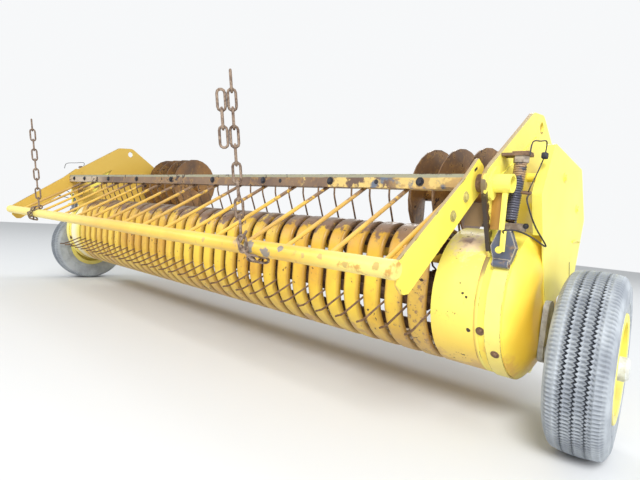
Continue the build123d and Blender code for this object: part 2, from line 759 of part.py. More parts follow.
def bracket_tongue():
    """The tongue that lies on the front of the bracket."""
    width, depth, height = TONGUE_SIZE
    high = foot_low_z() - SEAT
    front = bracket_front_y() - SEAT - depth / 2
    tongue = Pos(STRAP_X + STRAP_WIDTH / 2, front, high - height / 2) * Box(width, depth, height)
    return chamfer(tongue.edges().filter_by(Axis.Z), 2)


save("stripper_bands", *stripper_bands())
save("tine_bars", *tine_bars())
save("tines", *tines())
save("spiders", *spiders())
save("reel_tube", reel_tube())
save("top_beam", top_beam())
save("low_beam", low_beam())
save_pair("side_plate", side_plate())
save_pair("drum", drum())
save_pair("end_cover", end_cover())
save_pair("strap", strap())
save_pair("side_shield", side_shield())
save_pair("shield_posts", *shield_posts())
save("guard_tube", guard_tube())
save("guard_bar", guard_bar())
save("guard_rods", *guard_rods())
save_pair("guard_arm", guard_arm())
save_pair("guard_pivot", guard_pivot())
save_pair("guard_boss", guard_boss())
save("guard_chain_left", *guard_chain(CHAIN_TWIST_LEFT, TAIL_LINKS))
right_chain = [mirror(link, about=Plane.YZ) for link in guard_chain(CHAIN_TWIST_RIGHT, 0)]
save("guard_chain_right", *right_chain)
save_pair("auger_tube", auger_tube())
save_pair("auger_flight", auger_flight())
save_pair("tyre", tyre())
save_pair("rim", rim())
save_pair("hub_cap", hub_cap())
save_pair("wheel_arm", wheel_arm())
save_pair("spring", spring())
save_pair("spring_nut", spring_nut())
save_pair("spring_lug", spring_lug())
save_pair("spring_foot", spring_foot())
save_pair("strap_bracket", strap_bracket())
save_pair("bracket_tongue", bracket_tongue())
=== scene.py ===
"""Looks of a round baler's pickup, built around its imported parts.

+X is the machine's left side, -Y is forward and +Z is up. Shapes are made in millimetres from the
reel's axis, and everything else is in metres.
"""

import json
import math
from contextlib import contextmanager

import bmesh
import bpy
from mathutils import Matrix, Vector

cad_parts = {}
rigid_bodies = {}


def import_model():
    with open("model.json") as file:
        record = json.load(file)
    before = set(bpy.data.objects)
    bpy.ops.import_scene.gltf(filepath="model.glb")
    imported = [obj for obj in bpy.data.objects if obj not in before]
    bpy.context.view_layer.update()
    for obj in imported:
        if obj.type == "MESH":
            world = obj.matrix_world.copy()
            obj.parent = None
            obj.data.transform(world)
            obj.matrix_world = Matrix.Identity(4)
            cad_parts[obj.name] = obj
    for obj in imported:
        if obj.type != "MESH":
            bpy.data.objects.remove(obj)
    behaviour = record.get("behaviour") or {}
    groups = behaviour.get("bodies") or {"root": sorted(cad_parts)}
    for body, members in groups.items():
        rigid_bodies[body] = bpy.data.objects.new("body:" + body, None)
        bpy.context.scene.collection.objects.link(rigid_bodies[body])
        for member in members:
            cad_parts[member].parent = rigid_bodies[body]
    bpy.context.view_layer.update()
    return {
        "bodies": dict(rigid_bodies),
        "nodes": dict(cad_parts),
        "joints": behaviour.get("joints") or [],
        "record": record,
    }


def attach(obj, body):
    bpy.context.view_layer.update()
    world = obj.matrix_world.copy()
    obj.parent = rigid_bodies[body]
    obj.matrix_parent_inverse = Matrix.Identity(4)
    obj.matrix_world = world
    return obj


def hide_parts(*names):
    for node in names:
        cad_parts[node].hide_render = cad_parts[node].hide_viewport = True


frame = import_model()

SIDES = ["left", "right"]
GAP = 0.3

# The reel's axis, in metres
REEL_Y = -0.132
REEL_Z = -0.447

# Sizes of the solids that the pieces stand for or sit on, in millimetres and degrees
TINE_PITCH = 66
BAND_COUNT = 31
BAND_WIDTH = 49
BAND_RADIUS = 172
BAND_CORNER_RADIUS = 88
BAND_CORNER = (BAND_CORNER_RADIUS - BAND_RADIUS, BAND_RADIUS - BAND_CORNER_RADIUS)
BAND_SLOPE = 10.8
BAND_REAR_Y = 322
BAND_TAIL_Y = 270
BAR_CIRCLE = 115
BAR_RADIUS = 16
BAR_ANGLES = [189.5, 279.5, 9.5, 99.5]
TINE_LAGS = [13.5, 75, 115, 13.5]
TINE_RADIUS = 2.9
TINE_REACH = 134
TINE_TIP = 26
TINE_BEND = 18
PLATE_OUTER_X = 1144
COVER_FACE_X = 1227
STRAP_OUTER = 175.3
GUARD_TUBE = (-465, 87)
GUARD_TUBE_RADIUS = 18
GUARD_ARM_X = 1106
GUARD_ARM_OUTER_X = 1114
GUARD_BAR_FRONT_Y = -205
WHEEL_CENTRE = (1332, 8, -100)
WHEEL_TOE = 3.5
TYRE_RADIUS = 200
RIM_LIP_X = 56.5
RIM_LIP_RADIUS = 117
SPRING_LOW = (1181, -138, 192)
SPRING_HIGH = (1182, -111, 318)
SPRING_RADIUS = 14
CHAIN_TOP = (673, -520, 476)
CHAIN_FOOT_X = 690
CHAIN_PITCH = 40.7
SHIELD_POSTS = [(60, 310), (205, 245)]
SHIELD_FACE_X = 1229.8

FLOOR_Z = REEL_Z + (WHEEL_CENTRE[2] - TYRE_RADIUS) / 1000


def reel(y, z, x=0.0):
    """A place given in millimetres from the reel's axis."""
    return Vector((x / 1000, REEL_Y + y / 1000, REEL_Z + z / 1000))


def polar(radius, angle):
    """The point at a radius and an angle in degrees from +Y towards +Z."""
    return (radius * math.cos(math.radians(angle)), radius * math.sin(math.radians(angle)))


def around(radius, angle, x=0):
    """The place at a radius and an angle round the line along X."""
    return Vector((x, *polar(radius, angle)))


# Node helpers
def colour(red, green, blue):
    """A colour written as it looks on a screen, from 0 to 255, as a linear one."""
    parts = [
        c / 12.92 if c <= 0.04045 else ((c + 0.055) / 1.055) ** 2.4
        for c in (red / 255, green / 255, blue / 255)
    ]
    return (*parts, 1.0)


class Bench:
    """Places nodes in one tree and joins them."""

    def __init__(self, tree):
        self.tree = tree

    def put(self, kind, inputs=None, **settings):
        node = self.tree.nodes.new(kind)
        for name, value in settings.items():
            setattr(node, name, value)
        for name, value in (inputs or {}).items():
            self.feed(value, node.inputs[name])
        return node

    def feed(self, value, socket):
        if isinstance(value, bpy.types.NodeSocket):
            self.tree.links.new(value, socket)
        else:
            socket.default_value = value

    def maths(self, operation, first, second=0.5, clamp=False):
        node = self.put("ShaderNodeMath", operation=operation, use_clamp=clamp)
        self.feed(first, node.inputs[0])
        self.feed(second, node.inputs[1])
        return node.outputs[0]

    def ramp(self, value, low, high, to_low=0.0, to_high=1.0):
        node = self.put("ShaderNodeMapRange", interpolation_type="SMOOTHSTEP")
        for name, given in (("Value", value), ("From Min", low), ("From Max", high),
                            ("To Min", to_low), ("To Max", to_high)):
            self.feed(given, node.inputs[name])
        return node.outputs["Result"]

    def blend(self, mask, first, second):
        """Mix two shades, each a socket or a colour's red, green and blue."""
        node = self.put("ShaderNodeMix", data_type="RGBA")
        self.feed(mask, node.inputs[0])
        for shade, socket in ((first, node.inputs[6]), (second, node.inputs[7])):
            self.feed(colour(*shade) if isinstance(shade, tuple) else shade, socket)
        return node.outputs[2]

    def noise(self, place, scale, detail=3.0, roughness=0.55):
        inputs = {"Vector": place, "Scale": scale, "Detail": detail, "Roughness": roughness}
        return self.put("ShaderNodeTexNoise", inputs).outputs["Fac"]

    def place(self):
        return self.put("ShaderNodeTexCoord").outputs["Object"]

    def facing_up(self):
        return self.split(self.put("ShaderNodeNewGeometry").outputs["Normal"])["Z"]

    def split(self, vector):
        return self.put("ShaderNodeSeparateXYZ", {"Vector": vector}).outputs


# Camera and light
CAMERA_PLACE = (1.53092, -1.27692, -0.28159)
CAMERA_AHEAD = (-0.66074, 0.74913, -0.04717)
CAMERA_RIGHT = (0.74486, 0.66214, 0.08214)
FOCAL_LENGTH_PIXELS = 458.4
IMAGE_WIDTH_PIXELS = 640
SENSOR_WIDTH_MM = 36
# Name, place, aim, size in metres and power in watts
LIGHTS = [
    ("key", (3.1, -3.9, 3.0), (0.5, -0.1, -0.4), 2.2, 260),
    ("side", (4.8, -1.2, 0.9), (0.9, 0, -0.3), 2.0, 60),
    ("fill", (-3.2, -3.6, 1.8), (0, -0.1, -0.4), 3.0, 60),
    ("back", (-1.0, 3.6, 2.6), (0, 0, -0.3), 2.4, 80),
]
# Colour and strength of the sky that lights, and of the one that is seen or mirrored
SKY = ((0.95, 0.98, 1.0, 1), 0.55)
BACKDROP = ((0.93, 0.94, 0.95, 1), 1.0)
FLOOR_GREY = (0.74, 0.75, 0.76, 1)
FLOOR_HALF_SIZE = 7
FLOOR_SHIFT_Y = 1


def place_camera():
    """The view that the looks are tuned for."""
    ahead = Vector(CAMERA_AHEAD).normalized()
    right = Vector(CAMERA_RIGHT)
    right = (right - ahead * right.dot(ahead)).normalized()
    turn = Matrix((right, right.cross(ahead), -ahead)).transposed().to_4x4()
    data = bpy.data.cameras.new("camera")
    data.sensor_width = SENSOR_WIDTH_MM
    data.lens = FOCAL_LENGTH_PIXELS / IMAGE_WIDTH_PIXELS * SENSOR_WIDTH_MM
    camera = bpy.data.objects.new("camera", data)
    camera.matrix_world = Matrix.Translation(CAMERA_PLACE) @ turn
    bpy.context.scene.collection.objects.link(camera)
    bpy.context.scene.camera = camera


def area_light(name, place, aim, size, power):
    data = bpy.data.lights.new(name, "AREA")
    data.shape = "DISK"
    data.size = size
    data.energy = power
    lamp = bpy.data.objects.new(name, data)
    lamp.location = place
    lamp.rotation_euler = (Vector(aim) - Vector(place)).to_track_quat("-Z", "Y").to_euler()
    bpy.context.scene.collection.objects.link(lamp)


def light_studio():
    """Soft lamps, and a sky that is whiter where the camera sees it or a surface mirrors it."""
    bpy.context.scene.view_settings.view_transform = "Standard"
    for light in LIGHTS:
        area_light(*light)
    world = bpy.data.worlds.new("studio")
    world.use_nodes = True
    bpy.context.scene.world = world
    world.node_tree.nodes.clear()
    bench = Bench(world.node_tree)
    path = bench.put("ShaderNodeLightPath").outputs
    seen = path["Is Camera Ray"]
    for kind in ("Is Glossy Ray", "Is Transmission Ray"):
        seen = bench.maths("MAXIMUM", seen, path[kind])
    skies = [bench.put("ShaderNodeBackground", {"Color": tint, "Strength": strength}).outputs[0]
             for tint, strength in (SKY, BACKDROP)]
    mix = bench.put("ShaderNodeMixShader")
    for value, socket in zip((seen, *skies), mix.inputs):
        bench.feed(value, socket)
    bench.feed(mix.outputs[0], bench.put("ShaderNodeOutputWorld").inputs[0])


def lay_floor():
    bm = bmesh.new()
    bmesh.ops.create_grid(bm, x_segments=1, y_segments=1, size=FLOOR_HALF_SIZE)
    bmesh.ops.translate(bm, verts=bm.verts, vec=(0, FLOOR_SHIFT_Y, FLOOR_Z))
    mesh = bpy.data.meshes.new("floor")
    bm.to_mesh(mesh)
    bm.free()
    floor = bpy.data.objects.new("floor", mesh)
    bpy.context.scene.collection.objects.link(floor)
    pale = bpy.data.materials.new("pale_floor")
    pale.use_nodes = True
    shader = pale.node_tree.nodes["Principled BSDF"]
    shader.inputs["Base Color"].default_value = FLOOR_GREY
    shader.inputs["Roughness"].default_value = 0.9
    mesh.materials.append(pale)


place_camera()
light_studio()
lay_floor()


# Effects that the finishes share
def new_group(name, inputs, outputs):
    """An empty node group with named inputs and outputs, all numbers but for a place."""
    tree = bpy.data.node_groups.new(name, "ShaderNodeTree")
    for way, labels in (("INPUT", inputs), ("OUTPUT", outputs)):
        for label in labels:
            kind = "NodeSocketVector" if label == "Place" else "NodeSocketFloat"
            tree.interface.new_socket(label, in_out=way, socket_type=kind)
    bench = Bench(tree)
    return bench, bench.put("NodeGroupInput").outputs, bench.put("NodeGroupOutput").inputs


def make_chips():
    """Paint chipped off in small spots, with a softer stained ring round each."""
    bench, given, out = new_group("chips", ["Size", "Amount", "Seed"], ["Chip", "Stain"])
    place = bench.put("ShaderNodeVectorMath", operation="ADD")
    bench.feed(bench.place(), place.inputs[0])
    bench.feed(given["Seed"], place.inputs[1])
    place = place.outputs[0]
    fine = bench.noise(place, given["Size"], 4.0, 0.6)
    broad = bench.noise(place, bench.maths("MULTIPLY", given["Size"], 0.13), 2.0)
    level = bench.maths("ADD", bench.maths("MULTIPLY", fine, 0.62),
                        bench.maths("MULTIPLY", broad, 0.38))
    edge = bench.maths("SUBTRACT", 0.78, bench.maths("MULTIPLY", given["Amount"], 0.3))
    chip = bench.ramp(level, edge, bench.maths("ADD", edge, 0.012))
    stain = bench.ramp(level, bench.maths("SUBTRACT", edge, 0.09), bench.maths("ADD", edge, 0.02))
    bench.feed(chip, out["Chip"])
    bench.feed(stain, out["Stain"])
    return bench.tree


def make_edge_rub():
    """Paint rubbed off along the edges, in uneven lengths."""
    bench, given, out = new_group("edge_rub", ["Width", "Amount"], ["Rub"])
    soft = bench.put("ShaderNodeBevel", {"Radius": given["Width"]}, samples=4)
    true = bench.put("ShaderNodeNewGeometry")
    dot = bench.put("ShaderNodeVectorMath", operation="DOT_PRODUCT")
    bench.feed(soft.outputs[0], dot.inputs[0])
    bench.feed(true.outputs["Normal"], dot.inputs[1])
    worn = bench.ramp(dot.outputs["Value"], 0.995, 0.93)
    patchy = bench.noise(bench.place(), 28.0, 4.0, 0.65)
    more = bench.maths("MULTIPLY", given["Amount"], 0.45)
    gate = bench.ramp(patchy, bench.maths("SUBTRACT", 0.75, more),
                      bench.maths("SUBTRACT", 0.80, more))
    bench.feed(bench.maths("MULTIPLY", worn, gate), out["Rub"])
    return bench.tree


def make_dust():
    """Field dust: thicker low down, on upward faces and in soft clouds."""
    bench, given, out = new_group("dust", ["Low", "High", "Amount"], ["Dust"])
    place = bench.place()
    low = bench.ramp(bench.split(place)["Z"], given["High"], given["Low"])
    on_top = bench.ramp(bench.facing_up(), 0.55, 1.0, 0.0, 0.45)
    clouds = bench.maths("MULTIPLY", bench.noise(place, 7.0, 5.0, 0.6), 0.5)
    specks = bench.ramp(bench.noise(place, 130.0, 3.0, 0.7), 0.2, 0.75, 0.55, 1.0)
    level = bench.maths("ADD", bench.maths("ADD", low, on_top), clouds)
    level = bench.maths("MULTIPLY", bench.ramp(level, 0.35, 1.25), specks)
    bench.feed(bench.maths("MULTIPLY", level, given["Amount"], clamp=True), out["Dust"])
    return bench.tree


def make_grain():
    """A small uneven height for bump."""
    bench, given, out = new_group("grain", ["Size"], ["Height"])
    fine = bench.noise(bench.place(), given["Size"], 3.0, 0.6)
    broad = bench.noise(bench.place(), bench.maths("MULTIPLY", given["Size"], 0.06), 2.0)
    total = bench.maths("ADD", bench.maths("MULTIPLY", fine, 0.3),
                        bench.maths("MULTIPLY", broad, 0.7))
    bench.feed(total, out["Height"])
    return bench.tree


def make_mark():
    """A ragged spot round one place, whole up to a share of its radius."""
    bench, given, out = new_group("mark", ["Place", "Radius", "Inner"], ["Mark"])
    place = bench.place()
    away = bench.put("ShaderNodeVectorMath", operation="DISTANCE")
    bench.feed(place, away.inputs[0])
    bench.feed(given["Place"], away.inputs[1])
    ragged = bench.ramp(bench.noise(place, 90.0, 3.0), 0.2, 0.8, 0.55, 1.5)
    level = bench.maths("MULTIPLY", away.outputs["Value"], ragged)
    inner = bench.maths("MULTIPLY", given["Radius"], given["Inner"])
    bench.feed(bench.ramp(level, given["Radius"], inner), out["Mark"])
    return bench.tree


def make_zone():
    """Broken patches that begin at one value and grow denser to another."""
    bench, given, out = new_group("zone", ["At", "Start", "Full", "Size", "Amount"], ["Zone"])
    inside = bench.ramp(given["At"], given["Start"], given["Full"])
    patches = bench.noise(bench.place(), given["Size"], 5.0, 0.6)
    level = bench.maths("ADD", patches, bench.maths("MULTIPLY", inside, given["Amount"]))
    mask = bench.ramp(level, 0.72, 0.82)
    bench.feed(bench.maths("MULTIPLY", mask, bench.ramp(inside, 0.0, 0.15)), out["Zone"])
    return bench.tree


CHIPS = make_chips()
EDGE_RUB = make_edge_rub()
DUST = make_dust()
GRAIN = make_grain()
MARK = make_mark()
ZONE = make_zone()


# Kinds of finish
class Finish:
    """One material being built: a bench with its shader, and ways to add effects to it."""

    def __init__(self, name, roughness, metallic=0.0, coat=0.0):
        self.material = bpy.data.materials.new(name)
        self.material.use_nodes = True
        tree = self.material.node_tree
        self.bench = Bench(tree)
        self.shader = tree.nodes["Principled BSDF"]
        self.set("Roughness", roughness)
        self.set("Metallic", metallic)
        self.set("Coat Weight", coat)

    def effect(self, group, *outputs, **values):
        node = self.bench.put("ShaderNodeGroup", node_tree=group)
        for name, value in values.items():
            self.bench.feed(value, node.inputs[name])
        return [node.outputs[label] for label in outputs]

    def set(self, socket, value):
        self.bench.feed(value, self.shader.inputs[socket])

    def bump(self, height, depth, strength):
        inputs = {"Height": height, "Distance": depth, "Strength": strength}
        self.set("Normal", self.bench.put("ShaderNodeBump", inputs).outputs[0])


DARK_RUST = (58, 40, 33)
DUST_COLOUR = (190, 176, 152)
STAIN_COLOUR = (196, 150, 70)

# Low dust is thickest at the first height and thins out to the second, in metres
DUST_SPAN = (-0.72, -0.45)

# What a zone goes by: its place along X or Z, its distance from the machine's middle, its distance
# from a band's middle line, or how far a face looks up
X, Z, ASIDE, IN_BAND, UPWARD = range(5)

# A mark of this radius or more fades softly from its middle
BROAD_MARK = 20


def from_band_middle(bench):
    """How far a place is from the middle line of its stripper band."""
    pitch = TINE_PITCH / 1000
    at = bench.maths("ADD", bench.split(bench.place())["X"], pitch / 2)
    at = bench.maths("FLOORED_MODULO", at, pitch)
    return bench.maths("ABSOLUTE", bench.maths("SUBTRACT", at, pitch / 2))


def zone_span(bench, axis, start, full):
    """What a zone goes by, with its start and its full value in the same measure."""
    if axis == UPWARD:
        return bench.facing_up(), start, full
    if axis == IN_BAND:
        return from_band_middle(bench), start / 1000, full / 1000
    place = bench.split(bench.place())
    if axis == Z:
        return place["Z"], reel(0, start).z, reel(0, full).z
    at = bench.maths("ABSOLUTE", place["X"]) if axis == ASIDE else place["X"]
    return at, start / 1000, full / 1000


def paint(name, fresh, faded, chips=0.3, chip_size=60.0, rub=0.5, rub_width=0.003, dust=0.4,
          dust_span=DUST_SPAN, roughness=0.42, seed=0.0, under=DARK_RUST, marks=(), zones=()):
    """Old enamel: two shades, chips with stained rings, rubbed edges and dust.

    A mark is (x, y, z, radius, colour) in millimetres from the reel's axis. A zone is (axis,
    start, full, size, amount, colour), with its start and its full place measured in the same
    way. Its size sets how fine its patches are, and size 0 gives a soft fade. A colour is its red,
    green and blue as they look on a screen, from 0 to 255. Some marks and zones are painted shade
    or painted highlights, as noted where they are given.
    """
    finish = Finish(name, roughness, coat=0.15)
    bench = finish.bench
    shade = bench.ramp(bench.noise(bench.place(), 5.0, 4.0, 0.6), 0.35, 0.7)
    base = bench.blend(shade, fresh, faded)
    chip, stain = finish.effect(CHIPS, "Chip", "Stain", Size=chip_size, Amount=chips, Seed=seed)
    worn, = finish.effect(EDGE_RUB, "Rub", Width=rub_width, Amount=rub)
    base = bench.blend(bench.maths("MULTIPLY", stain, 0.4), base, STAIN_COLOUR)
    for axis, start, full, size, amount, tint in zones:
        at, low, high = zone_span(bench, axis, start, full)
        if size:
            mask, = finish.effect(ZONE, "Zone", At=at, Start=low, Full=high, Size=size,
                                  Amount=amount)
        else:
            mask = bench.ramp(at, low, high, 0.0, amount)
        base = bench.blend(mask, base, tint)
    for x, y, z, radius, tint in marks:
        inner = 0.1 if radius >= BROAD_MARK else 0.7
        mask, = finish.effect(MARK, "Mark", Place=reel(y, z, x), Radius=radius / 1000, Inner=inner)
        base = bench.blend(mask, base, tint)
    bare = bench.maths("MAXIMUM", chip, worn)
    base = bench.blend(bare, base, under)
    low, high = dust_span
    film, = finish.effect(DUST, "Dust", Low=low, High=high, Amount=dust)
    finish.set("Base Color", bench.blend(film, base, DUST_COLOUR))
    dull = bench.maths("MAXIMUM", bare, film)
    finish.set("Roughness", bench.ramp(dull, 0.0, 1.0, roughness, 0.85))
    height, = finish.effect(GRAIN, "Height", Size=220.0)
    height = bench.maths("SUBTRACT", height, bench.maths("MULTIPLY", chip, 0.8))
    finish.bump(height, 0.0005, 0.4)
    return finish.material


def rusty(name, light, dark, roughness=0.8, metallic=0.15, size=40.0):
    """Rusted steel in two browns with a pitted surface."""
    finish = Finish(name, roughness, metallic)
    bench = finish.bench
    patches = bench.ramp(bench.noise(bench.place(), size, 6.0, 0.7), 0.35, 0.65)
    finish.set("Base Color", bench.blend(patches, light, dark))
    finish.bump(bench.noise(bench.place(), size * 8, 4.0, 0.7), 0.0006, 0.6)
    return finish.material


def tyre_rubber():
    """Dusty tread and sides, with painted shade in the grooves and notches, where the attribute
    that the tyres' shape sets is high.
    """
    finish = Finish("tyre_rubber", 0.9)
    bench = finish.bench
    cloud = bench.ramp(bench.noise(bench.place(), 14.0, 5.0, 0.65), 0.35, 0.65)
    base = bench.blend(cloud, (178, 184, 190), (148, 154, 162))
    # Painted shade in the grooves and notches, from the weight that cut_tread sets
    groove_shade = bench.put("ShaderNodeAttribute", attribute_name="groove").outputs["Fac"]
    finish.set("Base Color", bench.blend(groove_shade, base, (84, 88, 96)))
    finish.bump(bench.noise(bench.place(), 300.0, 4.0, 0.7), 0.0005, 0.5)
    return finish.material


# The finishes
FRESH_YELLOW = (251, 240, 112)
FADED_YELLOW = (248, 230, 98)
PINK_RUST = (176, 140, 112)
BLACK_CHIP = (52, 40, 34)
SMUDGE = (198, 168, 92)
BARE_GREY = (140, 130, 118)
# Painted shade along the side plate's front edge
EDGE_SHADE = (58, 46, 36)

YELLOW = paint("yellow_enamel", FRESH_YELLOW, FADED_YELLOW, chips=0.16, rub=0.25, dust=0.45,
               dust_span=(-0.66, -0.50))
DRUM_PAINT = paint(
    "drum_enamel", FRESH_YELLOW, FADED_YELLOW, chips=0.46, chip_size=120.0, rub=0.1, dust=0.5,
    dust_span=(-0.66, -0.50), seed=2.0,
    marks=[
        (1085, -104, 137, 62, (232, 206, 168)),
        (1074, -96, 143, 26, PINK_RUST),
        (1079, -97, 142, 9, (150, 118, 100)),
        (1141, -159, 66, 5, BLACK_CHIP), (1114, -171, 19, 4, BLACK_CHIP),
        (1104, -170, 26, 3, BLACK_CHIP), (1123, -163, -54, 5, BLACK_CHIP),
        (1095, -166, 47, 3, BLACK_CHIP),
    ],
    zones=[
        # Deeper orange towards the bottom: painted shade
        (Z, 60, -160, 0, 0.7, (244, 194, 78)),
        (Z, -70, -172, 16.0, 0.34, (222, 180, 96)),
        # Cream towards the far end: a painted highlight
        (X, -1040, -1100, 0, 0.8, (250, 246, 216)),
    ],
)
COVER_PAINT = paint(
    "cover_enamel", (252, 238, 100), (246, 214, 74), chips=0.14, chip_size=90.0,
    rub=0.1, dust=0.45, dust_span=(-0.66, -0.52), seed=4.0,
    marks=[(1203, -130, 36, 4, BLACK_CHIP), (1212, -120, -52, 5, BLACK_CHIP)],
    zones=[
        # Deeper orange on the outer part of the dome: painted shade
        (ASIDE, 1196, 1222, 0, 0.55, (248, 196, 62)),
        (Z, -20, -150, 9.0, 0.3, (236, 190, 84)),
    ],
)
STRAP_PAINT = paint(
    "strap_enamel", (250, 236, 126), (240, 218, 108), chips=0.2, rub=0.7, rub_width=0.002,
    dust_span=(-0.66, -0.52), seed=6.0,
)
ARM_PAINT = paint(
    "arm_enamel", (252, 236, 96), (248, 222, 84), chips=0.2, dust=0.1, seed=7.0,
    zones=[
        # Darker on the arm's inner face: painted shade
        (ASIDE, 1112, 1107, 0, 0.7, (200, 150, 72)),
        (UPWARD, 0.4, 0.6, 0, 0.85, (150, 128, 106)),
    ],
)
BAND = paint(
    "band_enamel", (244, 206, 62), (216, 162, 46), chips=0.5, chip_size=80.0, rub=0.7,
    dust=0.35, dust_span=(-0.63, -0.48), seed=3.0,
    zones=[
        # Darker along each band's sides, between the bands: painted shade
        (IN_BAND, 12, 26, 0, 0.7, (150, 106, 44)),
        (Z, 80, 176, 26.0, 0.42, (112, 90, 84)),
        (Z, 110, 172, 60.0, 0.3, (84, 66, 60)),
        (X, 840, 1000, 80.0, 0.2, (140, 104, 72)),
        (X, 860, 1010, 0, 0.4, (186, 148, 96)),
        (Z, 70, 160, 0, 0.35, (150, 112, 56)),
        (Z, -60, -170, 18.0, 0.25, (206, 162, 84)),
    ],
)
PLATE_PAINT = paint(
    "plate_enamel", FRESH_YELLOW, FADED_YELLOW, chips=0.2, rub=0.4, seed=5.0,
    marks=[
        # A row of EDGE_SHADE marks: painted shade along the plate's front edge
        *((1137, -189 + 9.2 * step, 235 - 20 * step, 19, EDGE_SHADE) for step in range(6)),
        (1134, -200, 262, 19, (120, 104, 84)),
    ],
    zones=[
        # Darker on the plate's inner face, and darker still further in: painted shade
        (ASIDE, 1141, 1136, 0, 0.7, (204, 152, 70)),
        (ASIDE, 1132, 1128, 0, 0.9, (104, 80, 58)),
        (UPWARD, 0.3, 0.5, 0, 0.8, (132, 106, 82)),
    ],
)
# Browns that stand for the yellow paint in shade: painted shade
SHADED_PAINT = paint("shaded_enamel", (172, 126, 56), (146, 104, 48))
FRAME_PAINT = paint("frame_enamel", (230, 192, 72), (206, 164, 66), chips=0.35, seed=8.0)
TUBE_PAINT = paint(
    "tube_enamel", (240, 202, 74), (226, 178, 56), rub=0.2, dust=0.3, dust_span=(-0.5, -0.3),
    seed=10.0,
    marks=[
        (1080, -482, 92, 9, SMUDGE), (905, -482, 88, 6, SMUDGE), (948, -482, 92, 7, SMUDGE),
        (690, -475, 100, 20, BARE_GREY), (735, -483, 90, 18, BARE_GREY),
        (790, -480, 80, 14, BARE_GREY), (835, -480, 95, 9, BARE_GREY),
        (1012, -482, 84, 7, SMUDGE), (560, -482, 90, 8, SMUDGE),
    ],
    zones=[
        # Paler towards the near end and towards the far end: painted highlights
        (X, 820, 1100, 0, 0.6, (252, 242, 150)),
        (X, 200, -700, 0, 0.6, (253, 240, 140)),
        (X, 200, 900, 30.0, 0.17, (206, 158, 74)),
    ],
)
BAR_PAINT = paint(
    "worn_bar_enamel", (130, 104, 80), (96, 76, 66), chips=0.6, chip_size=34.0,
    rub=0.6, dust=0.25, roughness=0.65, seed=9.0, under=(74, 62, 58),
    zones=[
        (X, 900, 950, 0, 0.5, (224, 184, 106)),
        (X, -640, -820, 0, 0.65, (212, 196, 172)),
        (X, 480, 820, 34.0, 0.27, (216, 186, 112)),
        (X, 700, 900, 26.0, 0.2, (96, 106, 122)),
        (Z, 276, 279, 22.0, 0.5, (150, 148, 124)),
    ],
)
ROD_PAINT = paint(
    "rod_enamel", (232, 190, 80), (190, 150, 84), chips=0.4, chip_size=90.0, rub=0.1,
    seed=12.0, zones=[(Z, 170, 250, 60.0, 0.4, (132, 106, 84))],
)
# Worn brown flights, darkened further as painted shade from the baler above
AUGER_PAINT = paint("auger_enamel", (138, 98, 50), (84, 62, 46), chips=0.6, rub=0.8, seed=11.0)
RUSTY = rusty("brown_rust", (136, 108, 84), (84, 62, 50))
TINE_STEEL = rusty("tine_steel", (140, 112, 84), (92, 68, 52), size=60.0)
CHAIN_STEEL = rusty("chain_steel", (158, 138, 120), (92, 72, 60), size=90.0)
SPRING_STEEL = paint(
    "black_spring_steel", (74, 74, 88), (54, 52, 60), rub=0.0, dust=0.1, seed=14.0,
    zones=[(Z, 256, 300, 70.0, 0.3, (158, 128, 98))],
)
FOOT_STEEL = rusty("grey_foot_steel", (176, 164, 150), (112, 96, 84))
BRACKET_STEEL = paint(
    "blue_grey_steel", (84, 92, 114), (62, 60, 70), chips=0.5, rub=1.0,
    rub_width=0.004, dust=0.2, seed=13.0, under=(196, 184, 164),
)
ARM_STEEL = rusty("light_grey_steel", (186, 188, 188), (142, 140, 138), 0.7, 0.1)
PALE_STEEL = rusty("pale_grey_steel", (228, 234, 232), (192, 192, 184), 0.6, 0.1)
BOLT_PAINT = paint("bolt_enamel", (190, 178, 106), (152, 142, 92), chips=0.1, rub=0.1)
BLACK_STEEL = rusty("black_steel", (52, 52, 60), (34, 32, 36), 0.6, 0.2)
RUBBER = tyre_rubber()

FINISH_OF_SLOT = {
    "yellow_paint": YELLOW, "band_paint": BAND, "frame_paint": FRAME_PAINT,
    "worn_paint": BAR_PAINT, "auger_paint": AUGER_PAINT, "rim_paint": YELLOW,
    "rusty_steel": RUSTY, "dark_steel": ARM_STEEL, "spring_steel": SPRING_STEEL,
    "tine_wire": TINE_STEEL, "chain_steel": CHAIN_STEEL, "pale_steel": PALE_STEEL,
    "blue_grey_steel": BRACKET_STEEL, "tyre": RUBBER,
}
FINISH_OF_NODE = {
    "drum": DRUM_PAINT, "strap": STRAP_PAINT, "guard_arm": ARM_PAINT, "side_plate": PLATE_PAINT,
    "guard_tube": TUBE_PAINT, "guard_rods": ROD_PAINT, "end_cover": COVER_PAINT,
    "spring_nut": FOOT_STEEL, "spring_foot": FOOT_STEEL, "shield_posts": YELLOW,
}
for part in frame["record"]["subparts"]:
    mesh = frame["nodes"][part["node"]].data
    kind = part["node"].removesuffix("_left").removesuffix("_right")
    mesh.materials.clear()
    mesh.materials.append(FINISH_OF_NODE.get(kind, FINISH_OF_SLOT[part["material_slot"]]))


